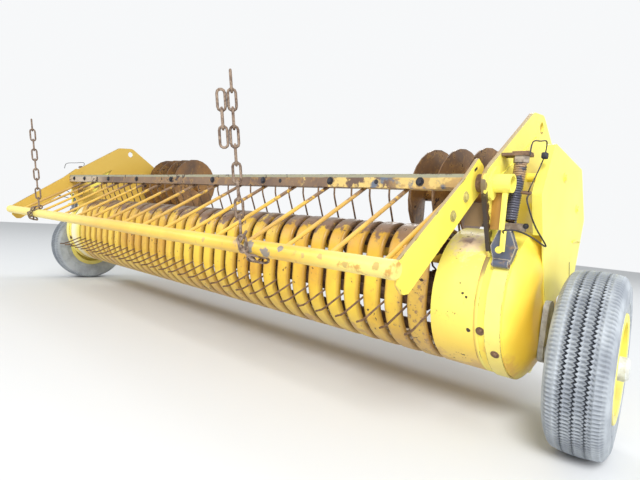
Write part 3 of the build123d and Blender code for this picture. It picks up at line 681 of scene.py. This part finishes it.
# Shapes, in millimetres from the reel's axis
@contextmanager
def new_piece(name, side, body, material, slot, replaces=(), sharp=38.0):
    """Give a mesh to shape for the left, then make one object of it that rides on a body.

    A piece that belongs to one side ends with the side's name, and so do the nodes it replaces.
    """
    bm = bmesh.new()
    yield bm
    if side:
        name, replaces = f"{name}_{side}", [f"{node}_{side}" for node in replaces]
    if side == "right":
        bmesh.ops.scale(bm, vec=(-1, 1, 1), verts=bm.verts)
    bmesh.ops.recalc_face_normals(bm, faces=bm.faces)
    bmesh.ops.scale(bm, vec=(0.001, 0.001, 0.001), verts=bm.verts)
    bmesh.ops.translate(bm, vec=reel(0, 0), verts=bm.verts)
    mesh = bpy.data.meshes.new(name)
    bm.to_mesh(mesh)
    bm.free()
    for face in mesh.polygons:
        face.use_smooth = True
    mesh.set_sharp_from_angle(angle=math.radians(sharp))
    mesh.materials.append(material)
    piece = bpy.data.objects.new(name, mesh)
    bpy.context.scene.collection.objects.link(piece)
    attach(piece, body)
    if replaces:
        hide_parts(*replaces)


def verts_of(geometry):
    return [item for item in geometry if isinstance(item, bmesh.types.BMVert)]


def frames_along(path, closed=False):
    """A turned matrix for each point of a path, twisted as little as the path allows."""
    points = [Vector(point) for point in path]
    count = len(points)
    turn, last, frames = None, None, []
    for index, point in enumerate(points):
        before = points[index - 1] if index or closed else point
        after = points[(index + 1) % count] if index + 1 < count or closed else point
        along = (after - before).normalized()
        if turn is None:
            turn = Vector((0, 0, 1)).rotation_difference(along)
        else:
            turn = last.rotation_difference(along) @ turn
        last = along
        frames.append(Matrix.Translation(point) @ turn.to_matrix().to_4x4())
    return frames


def sweep(bm, section, frames, closed=False, caps=True):
    """Extrude a loop or a line of points from frame to frame. section is a list of (x, y)."""
    verts = [bm.verts.new(frames[0] @ Vector((x, y, 0))) for x, y in section]
    pairs = list(zip(verts, verts[1:]))
    if caps or closed:
        pairs.append((verts[-1], verts[0]))
    edges = first = [bm.edges.new(pair) for pair in pairs]
    for before, after in zip(frames, frames[1:]):
        made = bmesh.ops.extrude_edge_only(bm, edges=edges)["geom"]
        ring = set(verts_of(made))
        bmesh.ops.transform(bm, matrix=after @ before.inverted(), verts=list(ring))
        edges = [item for item in made if isinstance(item, bmesh.types.BMEdge)
                 and all(vert in ring for vert in item.verts)]
    if closed:
        bmesh.ops.bridge_loops(bm, edges=first + edges)
    elif caps:
        bmesh.ops.edgeloop_fill(bm, edges=first)
        bmesh.ops.edgeloop_fill(bm, edges=edges)


def wire(bm, path, radius, sides=6, closed=False):
    """A round wire along a path."""
    section = [(radius * math.cos(math.tau * i / sides), radius * math.sin(math.tau * i / sides))
               for i in range(sides)]
    sweep(bm, section, frames_along(path, closed), closed)


def lathe(bm, profile, steps, centre=(0, 0, 0)):
    """Spin a closed profile of (x, radius) round the line along X through a centre."""
    along = Vector((1, 0, 0))
    out = along.orthogonal().normalized()
    centre = Vector(centre)
    verts = [bm.verts.new(centre + along * x + out * radius) for x, radius in profile]
    edges = [bm.edges.new(pair) for pair in zip(verts, [*verts[1:], verts[0]])]
    bmesh.ops.spin(bm, geom=verts + edges, cent=centre, axis=along, angle=math.tau, steps=steps,
                   use_merge=True)
    bmesh.ops.remove_doubles(bm, verts=bm.verts, dist=0.001)


def plate(bm, outline, x0, x1):
    """An outline in Y and Z, made solid from x0 to x1."""
    face = bm.faces.new([bm.verts.new((x0, y, z)) for y, z in outline])
    made = bmesh.ops.extrude_face_region(bm, geom=[face])["geom"]
    bmesh.ops.translate(bm, vec=(x1 - x0, 0, 0), verts=verts_of(made))


def block(bm, low, high, bevel):
    """A box between two corners, with its edges rounded."""
    low, high = Vector(low), Vector(high)
    made = bmesh.ops.create_cube(bm, size=1)["verts"]
    bmesh.ops.scale(bm, vec=high - low, verts=made)
    bmesh.ops.translate(bm, vec=(low + high) / 2, verts=made)
    edges = list({edge for vert in made for edge in vert.link_edges})
    bmesh.ops.bevel(bm, geom=edges, offset=bevel, segments=2, profile=0.5, affect="EDGES",
                    material=-1)


def bolt(bm, place, along, radius, height, washer):
    """A hexagon head on a washer, standing on a surface."""
    place, along = Vector(place), Vector(along).normalized()
    turn = Vector((0, 0, 1)).rotation_difference(along).to_matrix().to_4x4()
    parts = [
        (radius * 1.5, radius * 1.5, 14, 0.0, washer),
        (radius, radius, 6, washer, height * 0.75),
        (radius, radius * 0.8, 6, washer + height * 0.75, height * 0.25),
    ]
    for low_radius, high_radius, sides, start, depth in parts:
        middle = Matrix.Translation(place + along * (start + depth / 2 - 0.2))
        bmesh.ops.create_cone(bm, cap_ends=True, segments=sides, radius1=low_radius,
                              radius2=high_radius, depth=depth + 0.4, matrix=middle @ turn)


def smooth(points, steps=6):
    """More points on a soft curve through the given ones."""
    points = [Vector(point) for point in points]
    found = []
    for index in range(len(points) - 1):
        a, b = points[max(index - 1, 0)], points[index]
        c, d = points[index + 1], points[min(index + 2, len(points) - 1)]
        for step in range(steps):
            t = step / steps
            found.append(0.5 * (2 * b + (c - a) * t + (2 * a - 5 * b + 4 * c - d) * t ** 2
                                + (3 * b - 3 * c + d - a) * t ** 3))
    return [*found, points[-1]]


def round_point(turn, radius, index, steps):
    """One of the points round a turned circle about the origin."""
    return turn @ Vector((*polar(radius, 360 * index / steps), 0))


def circle(centre, radius, steps, axis=(1, 0, 0)):
    """Points round a circle."""
    turn = Vector((0, 0, 1)).rotation_difference(Vector(axis).normalized())
    return [Vector(centre) + round_point(turn, radius, index, steps) for index in range(steps)]


def coil(start, end, radius, turns, steps=12):
    """Points of a coil between two places."""
    start, run = Vector(start), Vector(end) - Vector(start)
    turn = Vector((0, 0, 1)).rotation_difference(run.normalized())
    count = turns * steps
    return [start + run * (index / count) + round_point(turn, radius, index, steps)
            for index in range(count + 1)]


def repeat(bm, items, count):
    """Set copies of a shape evenly about the middle, a tine's pitch apart."""
    first = -(count - 1) / 2 * TINE_PITCH
    for index in range(1, count):
        copy = bmesh.ops.duplicate(bm, geom=items)["geom"]
        bmesh.ops.translate(bm, vec=(first + index * TINE_PITCH, 0, 0), verts=verts_of(copy))
    bmesh.ops.translate(bm, vec=(first, 0, 0), verts=verts_of(items))


# Stripper bands
BAND_WALL = 2.4
BAND_FLANGE = 12
BAND_EDGE_RADIUS = 6.5
BAND_EDGE_START = 12
BAND_BOLT_Y = 302


def band_top_z(y):
    """Height of the bands' sloping top."""
    slope = math.radians(BAND_SLOPE)
    fall = (y - BAND_CORNER[0]) * math.sin(slope)
    return BAND_CORNER[1] + (BAND_CORNER_RADIUS - fall) / math.cos(slope)


def band_path():
    """Places along a band with their outward directions, from the rear top to the tail below."""
    corner = Vector((0, *BAND_CORNER))
    top_end = corner.y + BAND_CORNER_RADIUS * math.sin(math.radians(BAND_SLOPE))
    found = []
    for step in range(6):
        y = BAND_REAR_Y + (top_end - BAND_REAR_Y) * step / 6
        found.append((Vector((0, y, band_top_z(y))), 90 - BAND_SLOPE))
    for step in range(13):
        angle = 90 - BAND_SLOPE + (90 + BAND_SLOPE) * step / 12
        found.append((corner + around(BAND_CORNER_RADIUS, angle), angle))
    for step in range(1, 19):
        angle = 180 + 90 * step / 18
        found.append((around(BAND_RADIUS, angle), angle))
    for step in range(1, 5):
        found.append((Vector((0, BAND_TAIL_Y * step / 4, -BAND_RADIUS)), 270))
    return found


def band_section():
    """An open channel seen along the band: flanges, rounded edges, slightly crowned web."""
    half, edge = BAND_WIDTH / 2, BAND_EDGE_RADIUS
    side = [(half, -BAND_FLANGE), (half + 0.4, -edge - 1)]
    for step in range(4):
        x, y = polar(edge, BAND_EDGE_START + (90 - BAND_EDGE_START) * step / 3)
        side.append((half - edge + x, y - edge))
    side.append((half * 0.45, 0.25))
    return side + [(-x, y) for x, y in reversed(side)]


def make_bands():
    with new_piece("pressed_bands", "", "pickup_frame", BAND, "band_paint",
                   ["stripper_bands"]) as bm:
        across = Vector((1, 0, 0))
        frames = []
        for place, angle in band_path():
            out = around(1, angle)
            turn = Matrix((across, out, across.cross(out))).transposed().to_4x4()
            frames.append(Matrix.Translation(place) @ turn)
        sweep(bm, band_section(), frames, caps=False)
        bmesh.ops.recalc_face_normals(bm, faces=bm.faces)
        top = max(bm.faces, key=lambda face: face.calc_center_median().z)
        if top.normal.z < 0:
            bmesh.ops.reverse_faces(bm, faces=bm.faces)
        bmesh.ops.solidify(bm, geom=bm.faces, thickness=BAND_WALL)
        repeat(bm, bm.verts[:] + bm.edges[:] + bm.faces[:], BAND_COUNT)


def make_band_bolts():
    with new_piece("band_bolts", "", "pickup_frame", RUSTY, "rusty_steel") as bm:
        slope = math.radians(BAND_SLOPE)
        out = Vector((0, math.sin(slope), math.cos(slope)))
        for index in range(BAND_COUNT):
            x = (index - (BAND_COUNT - 1) / 2) * TINE_PITCH
            bolt(bm, (x, BAND_BOLT_Y, band_top_z(BAND_BOLT_Y)), out, 6, 4, 1.2)


# Tines
TINE_COIL_TURNS = 1.1
TINE_COIL_STEPS = 14
TINE_COIL_START_X = -8
TINE_COIL_LENGTH = 9
TINE_COIL_END = 95


def tine_path(angle, lag):
    """From the coil on the bar out to the bent tip, at x = 0."""
    root = around(BAR_CIRCLE, angle)
    aim = angle + lag
    wrap = BAR_RADIUS + TINE_RADIUS + GAP
    path = []
    for step in range(TINE_COIL_STEPS + 1):
        done = step / TINE_COIL_STEPS
        at = aim - TINE_COIL_END - 360 * (1 - done) * TINE_COIL_TURNS
        path.append(root + Vector((TINE_COIL_START_X + TINE_COIL_LENGTH * done,
                                   *polar(wrap, at))))
    for x, reach, at in ((0.5, wrap + 7, aim - 22), (0, wrap + 20, aim - 3),
                         (0, TINE_REACH - 8, aim)):
        path.append(root + Vector((x, *polar(reach, at))))
    bend = root + around(TINE_REACH, aim)
    for reach, at in ((5, aim - TINE_BEND * 0.7), (TINE_TIP, aim - TINE_BEND)):
        path.append(bend + around(reach, at))
    return path


def make_tines():
    with new_piece("spring_tines", "", "reel", TINE_STEEL, "tine_wire", ["tines"], 60) as bm:
        for angle, lag in zip(BAR_ANGLES, TINE_LAGS):
            before = {*bm.verts, *bm.edges, *bm.faces}
            wire(bm, tine_path(angle, lag), TINE_RADIUS, sides=5)
            one = [item for item in (*bm.verts, *bm.edges, *bm.faces) if item not in before]
            repeat(bm, one, BAND_COUNT + 1)


# Gauge wheels
TREAD_GROOVES = [-21, 0, 21]
TREAD_STEPS = 260
TREAD_CROWN = 0.0022
TREAD_LOW_RADIUS = 188
GROOVE_DEPTH = 7
GROOVE_LIP = 3.2
RIB_EDGE = 7.5
SHOULDER = (40, 52)
# How far the grooves' lips and the ribs' edges sway, and how deep ribs and shoulders are notched
LIP_SWAY = 2.8
RIB_SWAY = 2.0
RIB_NOTCH = 3.4
SHOULDER_NOTCH = 3.0
# The side of a tyre from its bead to the shoulder: half width and radius
TYRE_SIDE = [
    (48, 103), (50, 117), (51.5, 119), (53.5, 119.5), (54, 122), (53.5, 124), (56, 133),
    (57.8, 139), (59.2, 140), (59.4, 142.5), (58.6, 144), (59.3, 150), (59.6, 163), (57.9, 173),
    (58.2, 176), (57, 178), (54, 185), (50.5, 191),
]
HUB_RING = [(34, 25), (34, 31), (41, 31), (44, 29), (44, 25)]
WHEEL_NUTS = 5
WHEEL_NUT_X = 23.5
WHEEL_NUT_CIRCLE = 56
WHEEL_NUT_ANGLE = 18
# Distance along the axle, radius and angle of the valve's bends
VALVE = [(10, 88, 54), (26, 86, 54), (38, 83, 54)]
VALVE_RADIUS = 3.2
LIP_WIRE = 3.0


def on_wheel(bm):
    """Move what was made round the X axis to a gauge wheel's place."""
    turn = Matrix.Rotation(math.radians(WHEEL_TOE), 4, "Z")
    bmesh.ops.transform(bm, matrix=Matrix.Translation(WHEEL_CENTRE) @ turn, verts=bm.verts)


def crown(along):
    return TYRE_RADIUS - TREAD_CROWN * along ** 2


def tyre_profile():
    """The tyre's section: a side from its bead to the shoulder, the grooved tread, a side."""
    tread = [-46, -42, -34]
    for groove in TREAD_GROOVES:
        tread += [groove + shift for shift in (-RIB_EDGE, -GROOVE_LIP, GROOVE_LIP, RIB_EDGE)]
    profile = [(-x, radius) for x, radius in TYRE_SIDE]
    for along in [*tread, 34, 42, 46]:
        profile.append((along, crown(along)))
        if along + GROOVE_LIP in TREAD_GROOVES:
            floor = crown(along) - GROOVE_DEPTH
            profile += [(along + 1.4, floor), (along + 5.0, floor)]
    return profile + TYRE_SIDE[::-1]


def cut_tread(bm):
    """Push the grooves' edges to and fro, and notch the ribs and the shoulders between them."""
    # A weight for painted shade: full in the grooves, less on the lips and on the notches of ribs
    # and shoulders
    groove_shade = bm.verts.layers.float.new("groove")
    for vert in bm.verts:
        along, radius = vert.co.x, math.hypot(vert.co.y, vert.co.z)
        if radius < TREAD_LOW_RADIUS:
            continue
        turns = math.degrees(math.atan2(vert.co.z, vert.co.y)) / 360 * TREAD_STEPS
        odd = int(math.floor(turns + 0.25)) % 2
        near = min(abs(along - groove) for groove in TREAD_GROOVES)
        depth = 0.0
        if near < 4:
            vert[groove_shade] = 1.0 if near < 2.5 else 0.15
            along += LIP_SWAY * (2 * odd - 1)
        elif near < 9:
            along += RIB_SWAY * (2 * odd - 1)
            depth = RIB_NOTCH * odd
            vert[groove_shade] = 0.75 * odd
        elif SHOULDER[0] < abs(along) < SHOULDER[1]:
            depth = SHOULDER_NOTCH * odd
            vert[groove_shade] = 0.5 * odd
        scale = (radius - depth) / radius
        vert.co = (along, vert.co.y * scale, vert.co.z * scale)


def make_tyres():
    for side in SIDES:
        with new_piece("ribbed_tyre", side, f"gauge_wheel_{side}", RUBBER, "tyre", ["tyre"],
                       28) as bm:
            lathe(bm, tyre_profile(), TREAD_STEPS)
            cut_tread(bm)
            on_wheel(bm)


def make_wheel_details():
    """Rolled lips, the hub's rusty ring, the wheel's nuts and its valve."""
    for side in SIDES:
        body = f"gauge_wheel_{side}"
        with new_piece("rim_lips", side, body, YELLOW, "rim_paint") as bm:
            for x in (-RIM_LIP_X, RIM_LIP_X):
                ring = circle((x, 0, 0), RIM_LIP_RADIUS - LIP_WIRE / 2, 72)
                wire(bm, ring, LIP_WIRE, 8, closed=True)
            on_wheel(bm)
        with new_piece("wheel_nuts", side, body, RUSTY, "rusty_steel") as bm:
            lathe(bm, HUB_RING, 32)
            for index in range(WHEEL_NUTS):
                angle = 360 / WHEEL_NUTS * index + WHEEL_NUT_ANGLE
                bolt(bm, (WHEEL_NUT_X, *polar(WHEEL_NUT_CIRCLE, angle)), (1, 0, 0), 9, 9, 2)
            wire(bm, [(x, *polar(radius, angle)) for x, radius, angle in VALVE], VALVE_RADIUS, 8)
            on_wheel(bm)


# Lift springs
SPRING_TURNS = 24
SPRING_WIRE = 2.5
SPRING_COIL_RADIUS = SPRING_RADIUS - 2.6
SPRING_CORE_RADIUS = 7.5
# The ribs that lie on the upper lug
LUG_RIBS = 4
LUG_RIB_PITCH = 9
LUG_RIB_HALF = 1.6
LUG_RIB_X = (1166, 1202)
LUG_RIB_Z = (339, 345)


def make_springs():
    for side in SIDES:
        with new_piece("coil_spring", side, "pickup_frame", SPRING_STEEL, "spring_steel",
                       ["spring"], 60) as bm:
            wire(bm, coil(SPRING_LOW, SPRING_HIGH, SPRING_COIL_RADIUS, SPRING_TURNS), SPRING_WIRE)
        with new_piece("spring_rod", side, "pickup_frame", RUSTY, "rusty_steel") as bm:
            wire(bm, [SPRING_LOW, SPRING_HIGH], SPRING_CORE_RADIUS, 10)
            for index in range(LUG_RIBS):
                y = SPRING_HIGH[1] + LUG_RIB_PITCH * (index - (LUG_RIBS - 1) / 2)
                block(bm, (LUG_RIB_X[0], y - LUG_RIB_HALF, LUG_RIB_Z[0]),
                      (LUG_RIB_X[1], y + LUG_RIB_HALF, LUG_RIB_Z[1]), 0.8)


# Chains
LINK_HALF_WIDTH = 8.75
LINK_HALF_STRAIGHT = 15.0
LINK_WIRE = 3.25
CHAIN_START = 25.1
LOOSE_GAP = 24.3
# The turn of each chain's first link, and its count of loose links
CHAINS = {"left": (141, 3), "right": (17, 0)}
# The links round the tube: their count, the first one's angle, then the step from each to the next
# in angle and along the tube, the rise of a link round the tube, and where they begin and lie
WRAP_LINKS = 4
WRAP_ANGLE = 112
WRAP_TURN = 50
WRAP_PITCH = 17
WRAP_ARC = 21
WRAP_START_X = CHAIN_FOOT_X + 14
WRAP_RADIUS = GUARD_TUBE_RADIUS + 6


def link_path():
    """The middle of one link's wire, its length along Z."""
    path = []
    for end in (0, 180):
        for step in range(6):
            x, z = polar(LINK_HALF_WIDTH, end + 180 * step / 5)
            path.append((x, 0, z + LINK_HALF_STRAIGHT * (1 if end == 0 else -1)))
    return path


def square_to(along):
    """The direction square to another that is nearest to +X."""
    return (Vector((1, 0, 0)) - along * along.x).normalized()


def add_link(bm, centre, along, turn):
    """One link round a place, its length along a direction."""
    along = Vector(along).normalized()
    across = square_to(along)
    frame = Matrix((across, along.cross(across), along)).transposed().to_4x4()
    place = Matrix.Translation(centre) @ frame @ Matrix.Rotation(math.radians(turn), 4, "Z")
    wire(bm, [place @ Vector(point) for point in link_path()], LINK_WIRE, closed=True)


def make_chains():
    """The taut run up from the tube, the loose links beside it and the turns round the tube."""
    top, foot = Vector(CHAIN_TOP), Vector((CHAIN_FOOT_X, *GUARD_TUBE))
    run = (top - foot).normalized()
    low = foot + run * CHAIN_START
    count = int((top - low).length // CHAIN_PITCH)
    high = count - 2
    for side in SIDES:
        twist, loose = CHAINS[side]
        with new_piece("round_links", side, "wind_guard", CHAIN_STEEL, "chain_steel",
                       ["guard_chain"], 60) as bm:
            for index in range(count):
                place = low + run * CHAIN_PITCH * (index + 0.5)
                add_link(bm, place, run, twist + 90 * (index % 2))
            twist += 90 * (high % 2)
            aside = Matrix.Rotation(math.radians(twist), 3, run) @ square_to(run) * LOOSE_GAP
            for index in range(loose):
                place = low + run * CHAIN_PITCH * (high - index + 0.5) + aside
                add_link(bm, place, run, twist + 90 * (index % 2))
        with new_piece("chain_wrap", side, "wind_guard", CHAIN_STEEL, "chain_steel",
                       sharp=60) as bm:
            for index in range(WRAP_LINKS):
                angle = WRAP_ANGLE + WRAP_TURN * index
                middle = Vector((WRAP_START_X + WRAP_PITCH * index, *GUARD_TUBE))
                middle += around(WRAP_RADIUS, angle)
                along = (WRAP_PITCH, *polar(WRAP_ARC, angle + 90))
                add_link(bm, middle, along, 45 + 90 * (index % 2))


# Wind guard
CHANNEL_BOLTS_X = [-1040, -908, -636, -363, -88, 184, 449, 721, 993]
CHANNEL_BOLT_Z = 268
CHANNEL_PLUGS_X = [525, 871]
CHANNEL_PLUG_Z = 267
JOINT_PLATES_X = [(-830, -764), (1036, 1104)]
JOINT_PLATE_Z = (255, 284)
ARM_BOLTS = [(-222.6, 235.3), (-274.1, 192)]
ARM_SLOT = [(-190, 292), (-177, 300), (-179, 305), (-192, 297)]
# The tube's domed end: distance along the tube and radius
TUBE_END = [
    (-8, 0), (-8, GUARD_TUBE_RADIUS + 0.3), (-3, GUARD_TUBE_RADIUS + 0.6),
    (5, GUARD_TUBE_RADIUS), (8, GUARD_TUBE_RADIUS - 3), (8.5, 0),
]


def make_guard_details():
    """The rear channel's bolts and joint plates, the arms' bolts and slots, the tube's ends."""
    front = GUARD_BAR_FRONT_Y
    with new_piece("channel_bolts", "", "wind_guard", BLACK_STEEL, "dark_steel") as bm:
        for x in CHANNEL_BOLTS_X:
            bolt(bm, (x, front, CHANNEL_BOLT_Z), (0, -1, 0), 7, 5, 1.6)
        for x in CHANNEL_PLUGS_X:
            place = Matrix.Translation((x, front, CHANNEL_PLUG_Z))
            bmesh.ops.create_cone(bm, cap_ends=True, segments=16, radius1=6, radius2=6, depth=1.2,
                                  matrix=place @ Matrix.Rotation(math.pi / 2, 4, "X"))
    with new_piece("joint_plates", "", "wind_guard", BAR_PAINT, "worn_paint") as bm:
        for x0, x1 in JOINT_PLATES_X:
            low, high = JOINT_PLATE_Z
            block(bm, (x0, front - 3, low), (x1, front + 1, high), 1.2)
    for side in SIDES:
        with new_piece("arm_bolts", side, "wind_guard", BOLT_PAINT, "yellow_paint") as bm:
            for y, z in ARM_BOLTS:
                bolt(bm, (GUARD_ARM_OUTER_X, y, z), (1, 0, 0), 8, 4, 1.4)
        with new_piece("tube_end", side, "wind_guard", TUBE_PAINT, "yellow_paint") as bm:
            lathe(bm, TUBE_END, 32, (GUARD_ARM_X, *GUARD_TUBE))
        # A thin dark sheet on the arm's face stands for a slot: painted shade
        with new_piece("arm_slot", side, "wind_guard", BLACK_STEEL, "dark_steel") as bm:
            plate(bm, ARM_SLOT, GUARD_ARM_OUTER_X - 0.5, GUARD_ARM_OUTER_X + 0.5)


# End covers
COVER_RIM = (1198, 172)
COVER_RIM_INNER = 169.6
COVER_FLAT_RADIUS = 62
COVER_BULGE = 13.0
COVER_WALL = (2.4, 0.8)
COVER_STEPS = 14
# Place across the machine, angle and radius of the bolts on the cover's rim and its strap
STRAP_BOLTS = [(1150, 197, COVER_RIM[1] + GAP), (1180, 213.7, STRAP_OUTER)]


def cover_profile():
    """The cover's section: a straight rim, then an arc from the rim to the flat face."""
    rim, face = Vector(COVER_RIM), Vector((COVER_FACE_X, COVER_FLAT_RADIUS))
    chord = face - rim
    radius = chord.length_squared / (8 * COVER_BULGE) + COVER_BULGE / 2
    normal = Vector((-chord.y, chord.x)).normalized()
    centre = (rim + face) / 2 - normal * (radius - COVER_BULGE)
    spread = math.asin(chord.length / 2 / radius)
    outer = [Vector((PLATE_OUTER_X + GAP, rim.y)), rim]
    for step in range(1, COVER_STEPS):
        turn = Matrix.Rotation(spread - 2 * spread * step / COVER_STEPS, 2)
        outer.append(centre + turn @ normal * radius)
    return outer + [face, Vector((COVER_FACE_X, 0))]


def make_covers():
    for side in SIDES:
        with new_piece("domed_cover", side, "pickup_frame", COVER_PAINT, "yellow_paint",
                       ["end_cover"], 30) as bm:
            outer = cover_profile()
            inner = [(x - COVER_WALL[0], max(radius - COVER_WALL[1], 0))
                     for x, radius in outer[:0:-1]]
            lathe(bm, [*outer, *inner, (PLATE_OUTER_X + GAP, COVER_RIM_INNER)], 96)
        with new_piece("strap_bolts", side, "pickup_frame", RUSTY, "rusty_steel") as bm:
            for x, angle, radius in STRAP_BOLTS:
                along = around(1, angle)
                bolt(bm, Vector((x, 0, 0)) + along * radius, along, 6.5, 4, 1.2)


# Bracket, wires and shield
FRONT_PLATE = [(PLATE_OUTER_X, -154, 172), (1166, -147, 262)]
TONGUE_BAR = [(1169, -168, 172), (1180, -162, 262)]
TONGUE_NUT = (1176, -174, 130)
WINDOW = [(-150, 262), (-135, 285), (100, 420), (125, 395), (20, 150), (-25, 130), (-60, 150)]
BRACKET_PIN = [(1158, -160, 98), (1197, -160, 98)]
RING_CENTRE = (1209, -141, 254)
RING_AXIS = (0.1, -0.2, 1)
# Points along each loose wire, with its radius and its count of sides
LOOSE_WIRES = [
    ([(1212, -130, 252), (1228, -192, 236), (1233, -176, 208), (1233, -133, 182),
      (1235, -56, 145), (1233, -120, 156), (1230, -180, 167), (1218, -212, 173),
      (1200, -222, 171), (1190, -196, 166)], 1.7, 6),
    ([(1225, -192, 324), (1225, -182, 352), (1225, -135, 362), (1225, -92, 368),
      (1225, -96, 339)], 1.5, 6),
    ([(1225, -96, 339), (1224, -125, 303), (1220, -152, 266), (1214, -145, 256)], 1.3, 5),
]
FOOT_BOLT = (1219, SPRING_LOW[1] - 15, 184)
KNOT = [(1219, -104, 331), (1231, -88, 345)]
SHIELD_SLIT = [(183, 104), (187, 105), (203, 63), (199, 61)]
SHIELD_HANDLE = [(1231, 190.5, 158), (1233, 228, 162), (1231, 266.6, 159)]


def make_side_details():
    for side in SIDES:
        # The front plate's browns are painted shade
        with new_piece("front_plate", side, "pickup_frame", SHADED_PAINT, "yellow_paint") as bm:
            block(bm, *FRONT_PLATE, 1.0)
        with new_piece("window_sheet", side, "pickup_frame", YELLOW, "yellow_paint") as bm:
            block(bm, *TONGUE_BAR, 1.5)
            bolt(bm, TONGUE_NUT, (0, -1, 0), 5, 6, 1.4)
            plate(bm, WINDOW, PLATE_OUTER_X - 0.5, PLATE_OUTER_X + 2)
        with new_piece("bracket_nut", side, "pickup_frame", RUSTY, "rusty_steel") as bm:
            wire(bm, BRACKET_PIN, 3.2, 8)
            wire(bm, circle(RING_CENTRE, 8, 18, RING_AXIS), 3.2, closed=True)
        with new_piece("loose_wires", side, "pickup_frame", BLACK_STEEL, "dark_steel",
                       sharp=60) as bm:
            for points, radius, sides in LOOSE_WIRES:
                wire(bm, smooth(points), radius, sides)
            bolt(bm, FOOT_BOLT, (0, -1, 0), 4, 3, 1)
            block(bm, *KNOT, 3)
            # A thin dark sheet on the shield stands for a slit: painted shade
            plate(bm, SHIELD_SLIT, SHIELD_FACE_X - 0.5, SHIELD_FACE_X + 0.4)
        with new_piece("shield_fittings", side, "pickup_frame", YELLOW, "yellow_paint") as bm:
            wire(bm, smooth(SHIELD_HANDLE), 2.6)
            for y, z in SHIELD_POSTS:
                bolt(bm, (SHIELD_FACE_X, y, z), (1, 0, 0), 8, 4, 1.4)


make_bands()
make_tines()
make_tyres()
make_wheel_details()
make_springs()
make_chains()
make_guard_details()
make_covers()
make_side_details()
make_band_bolts()
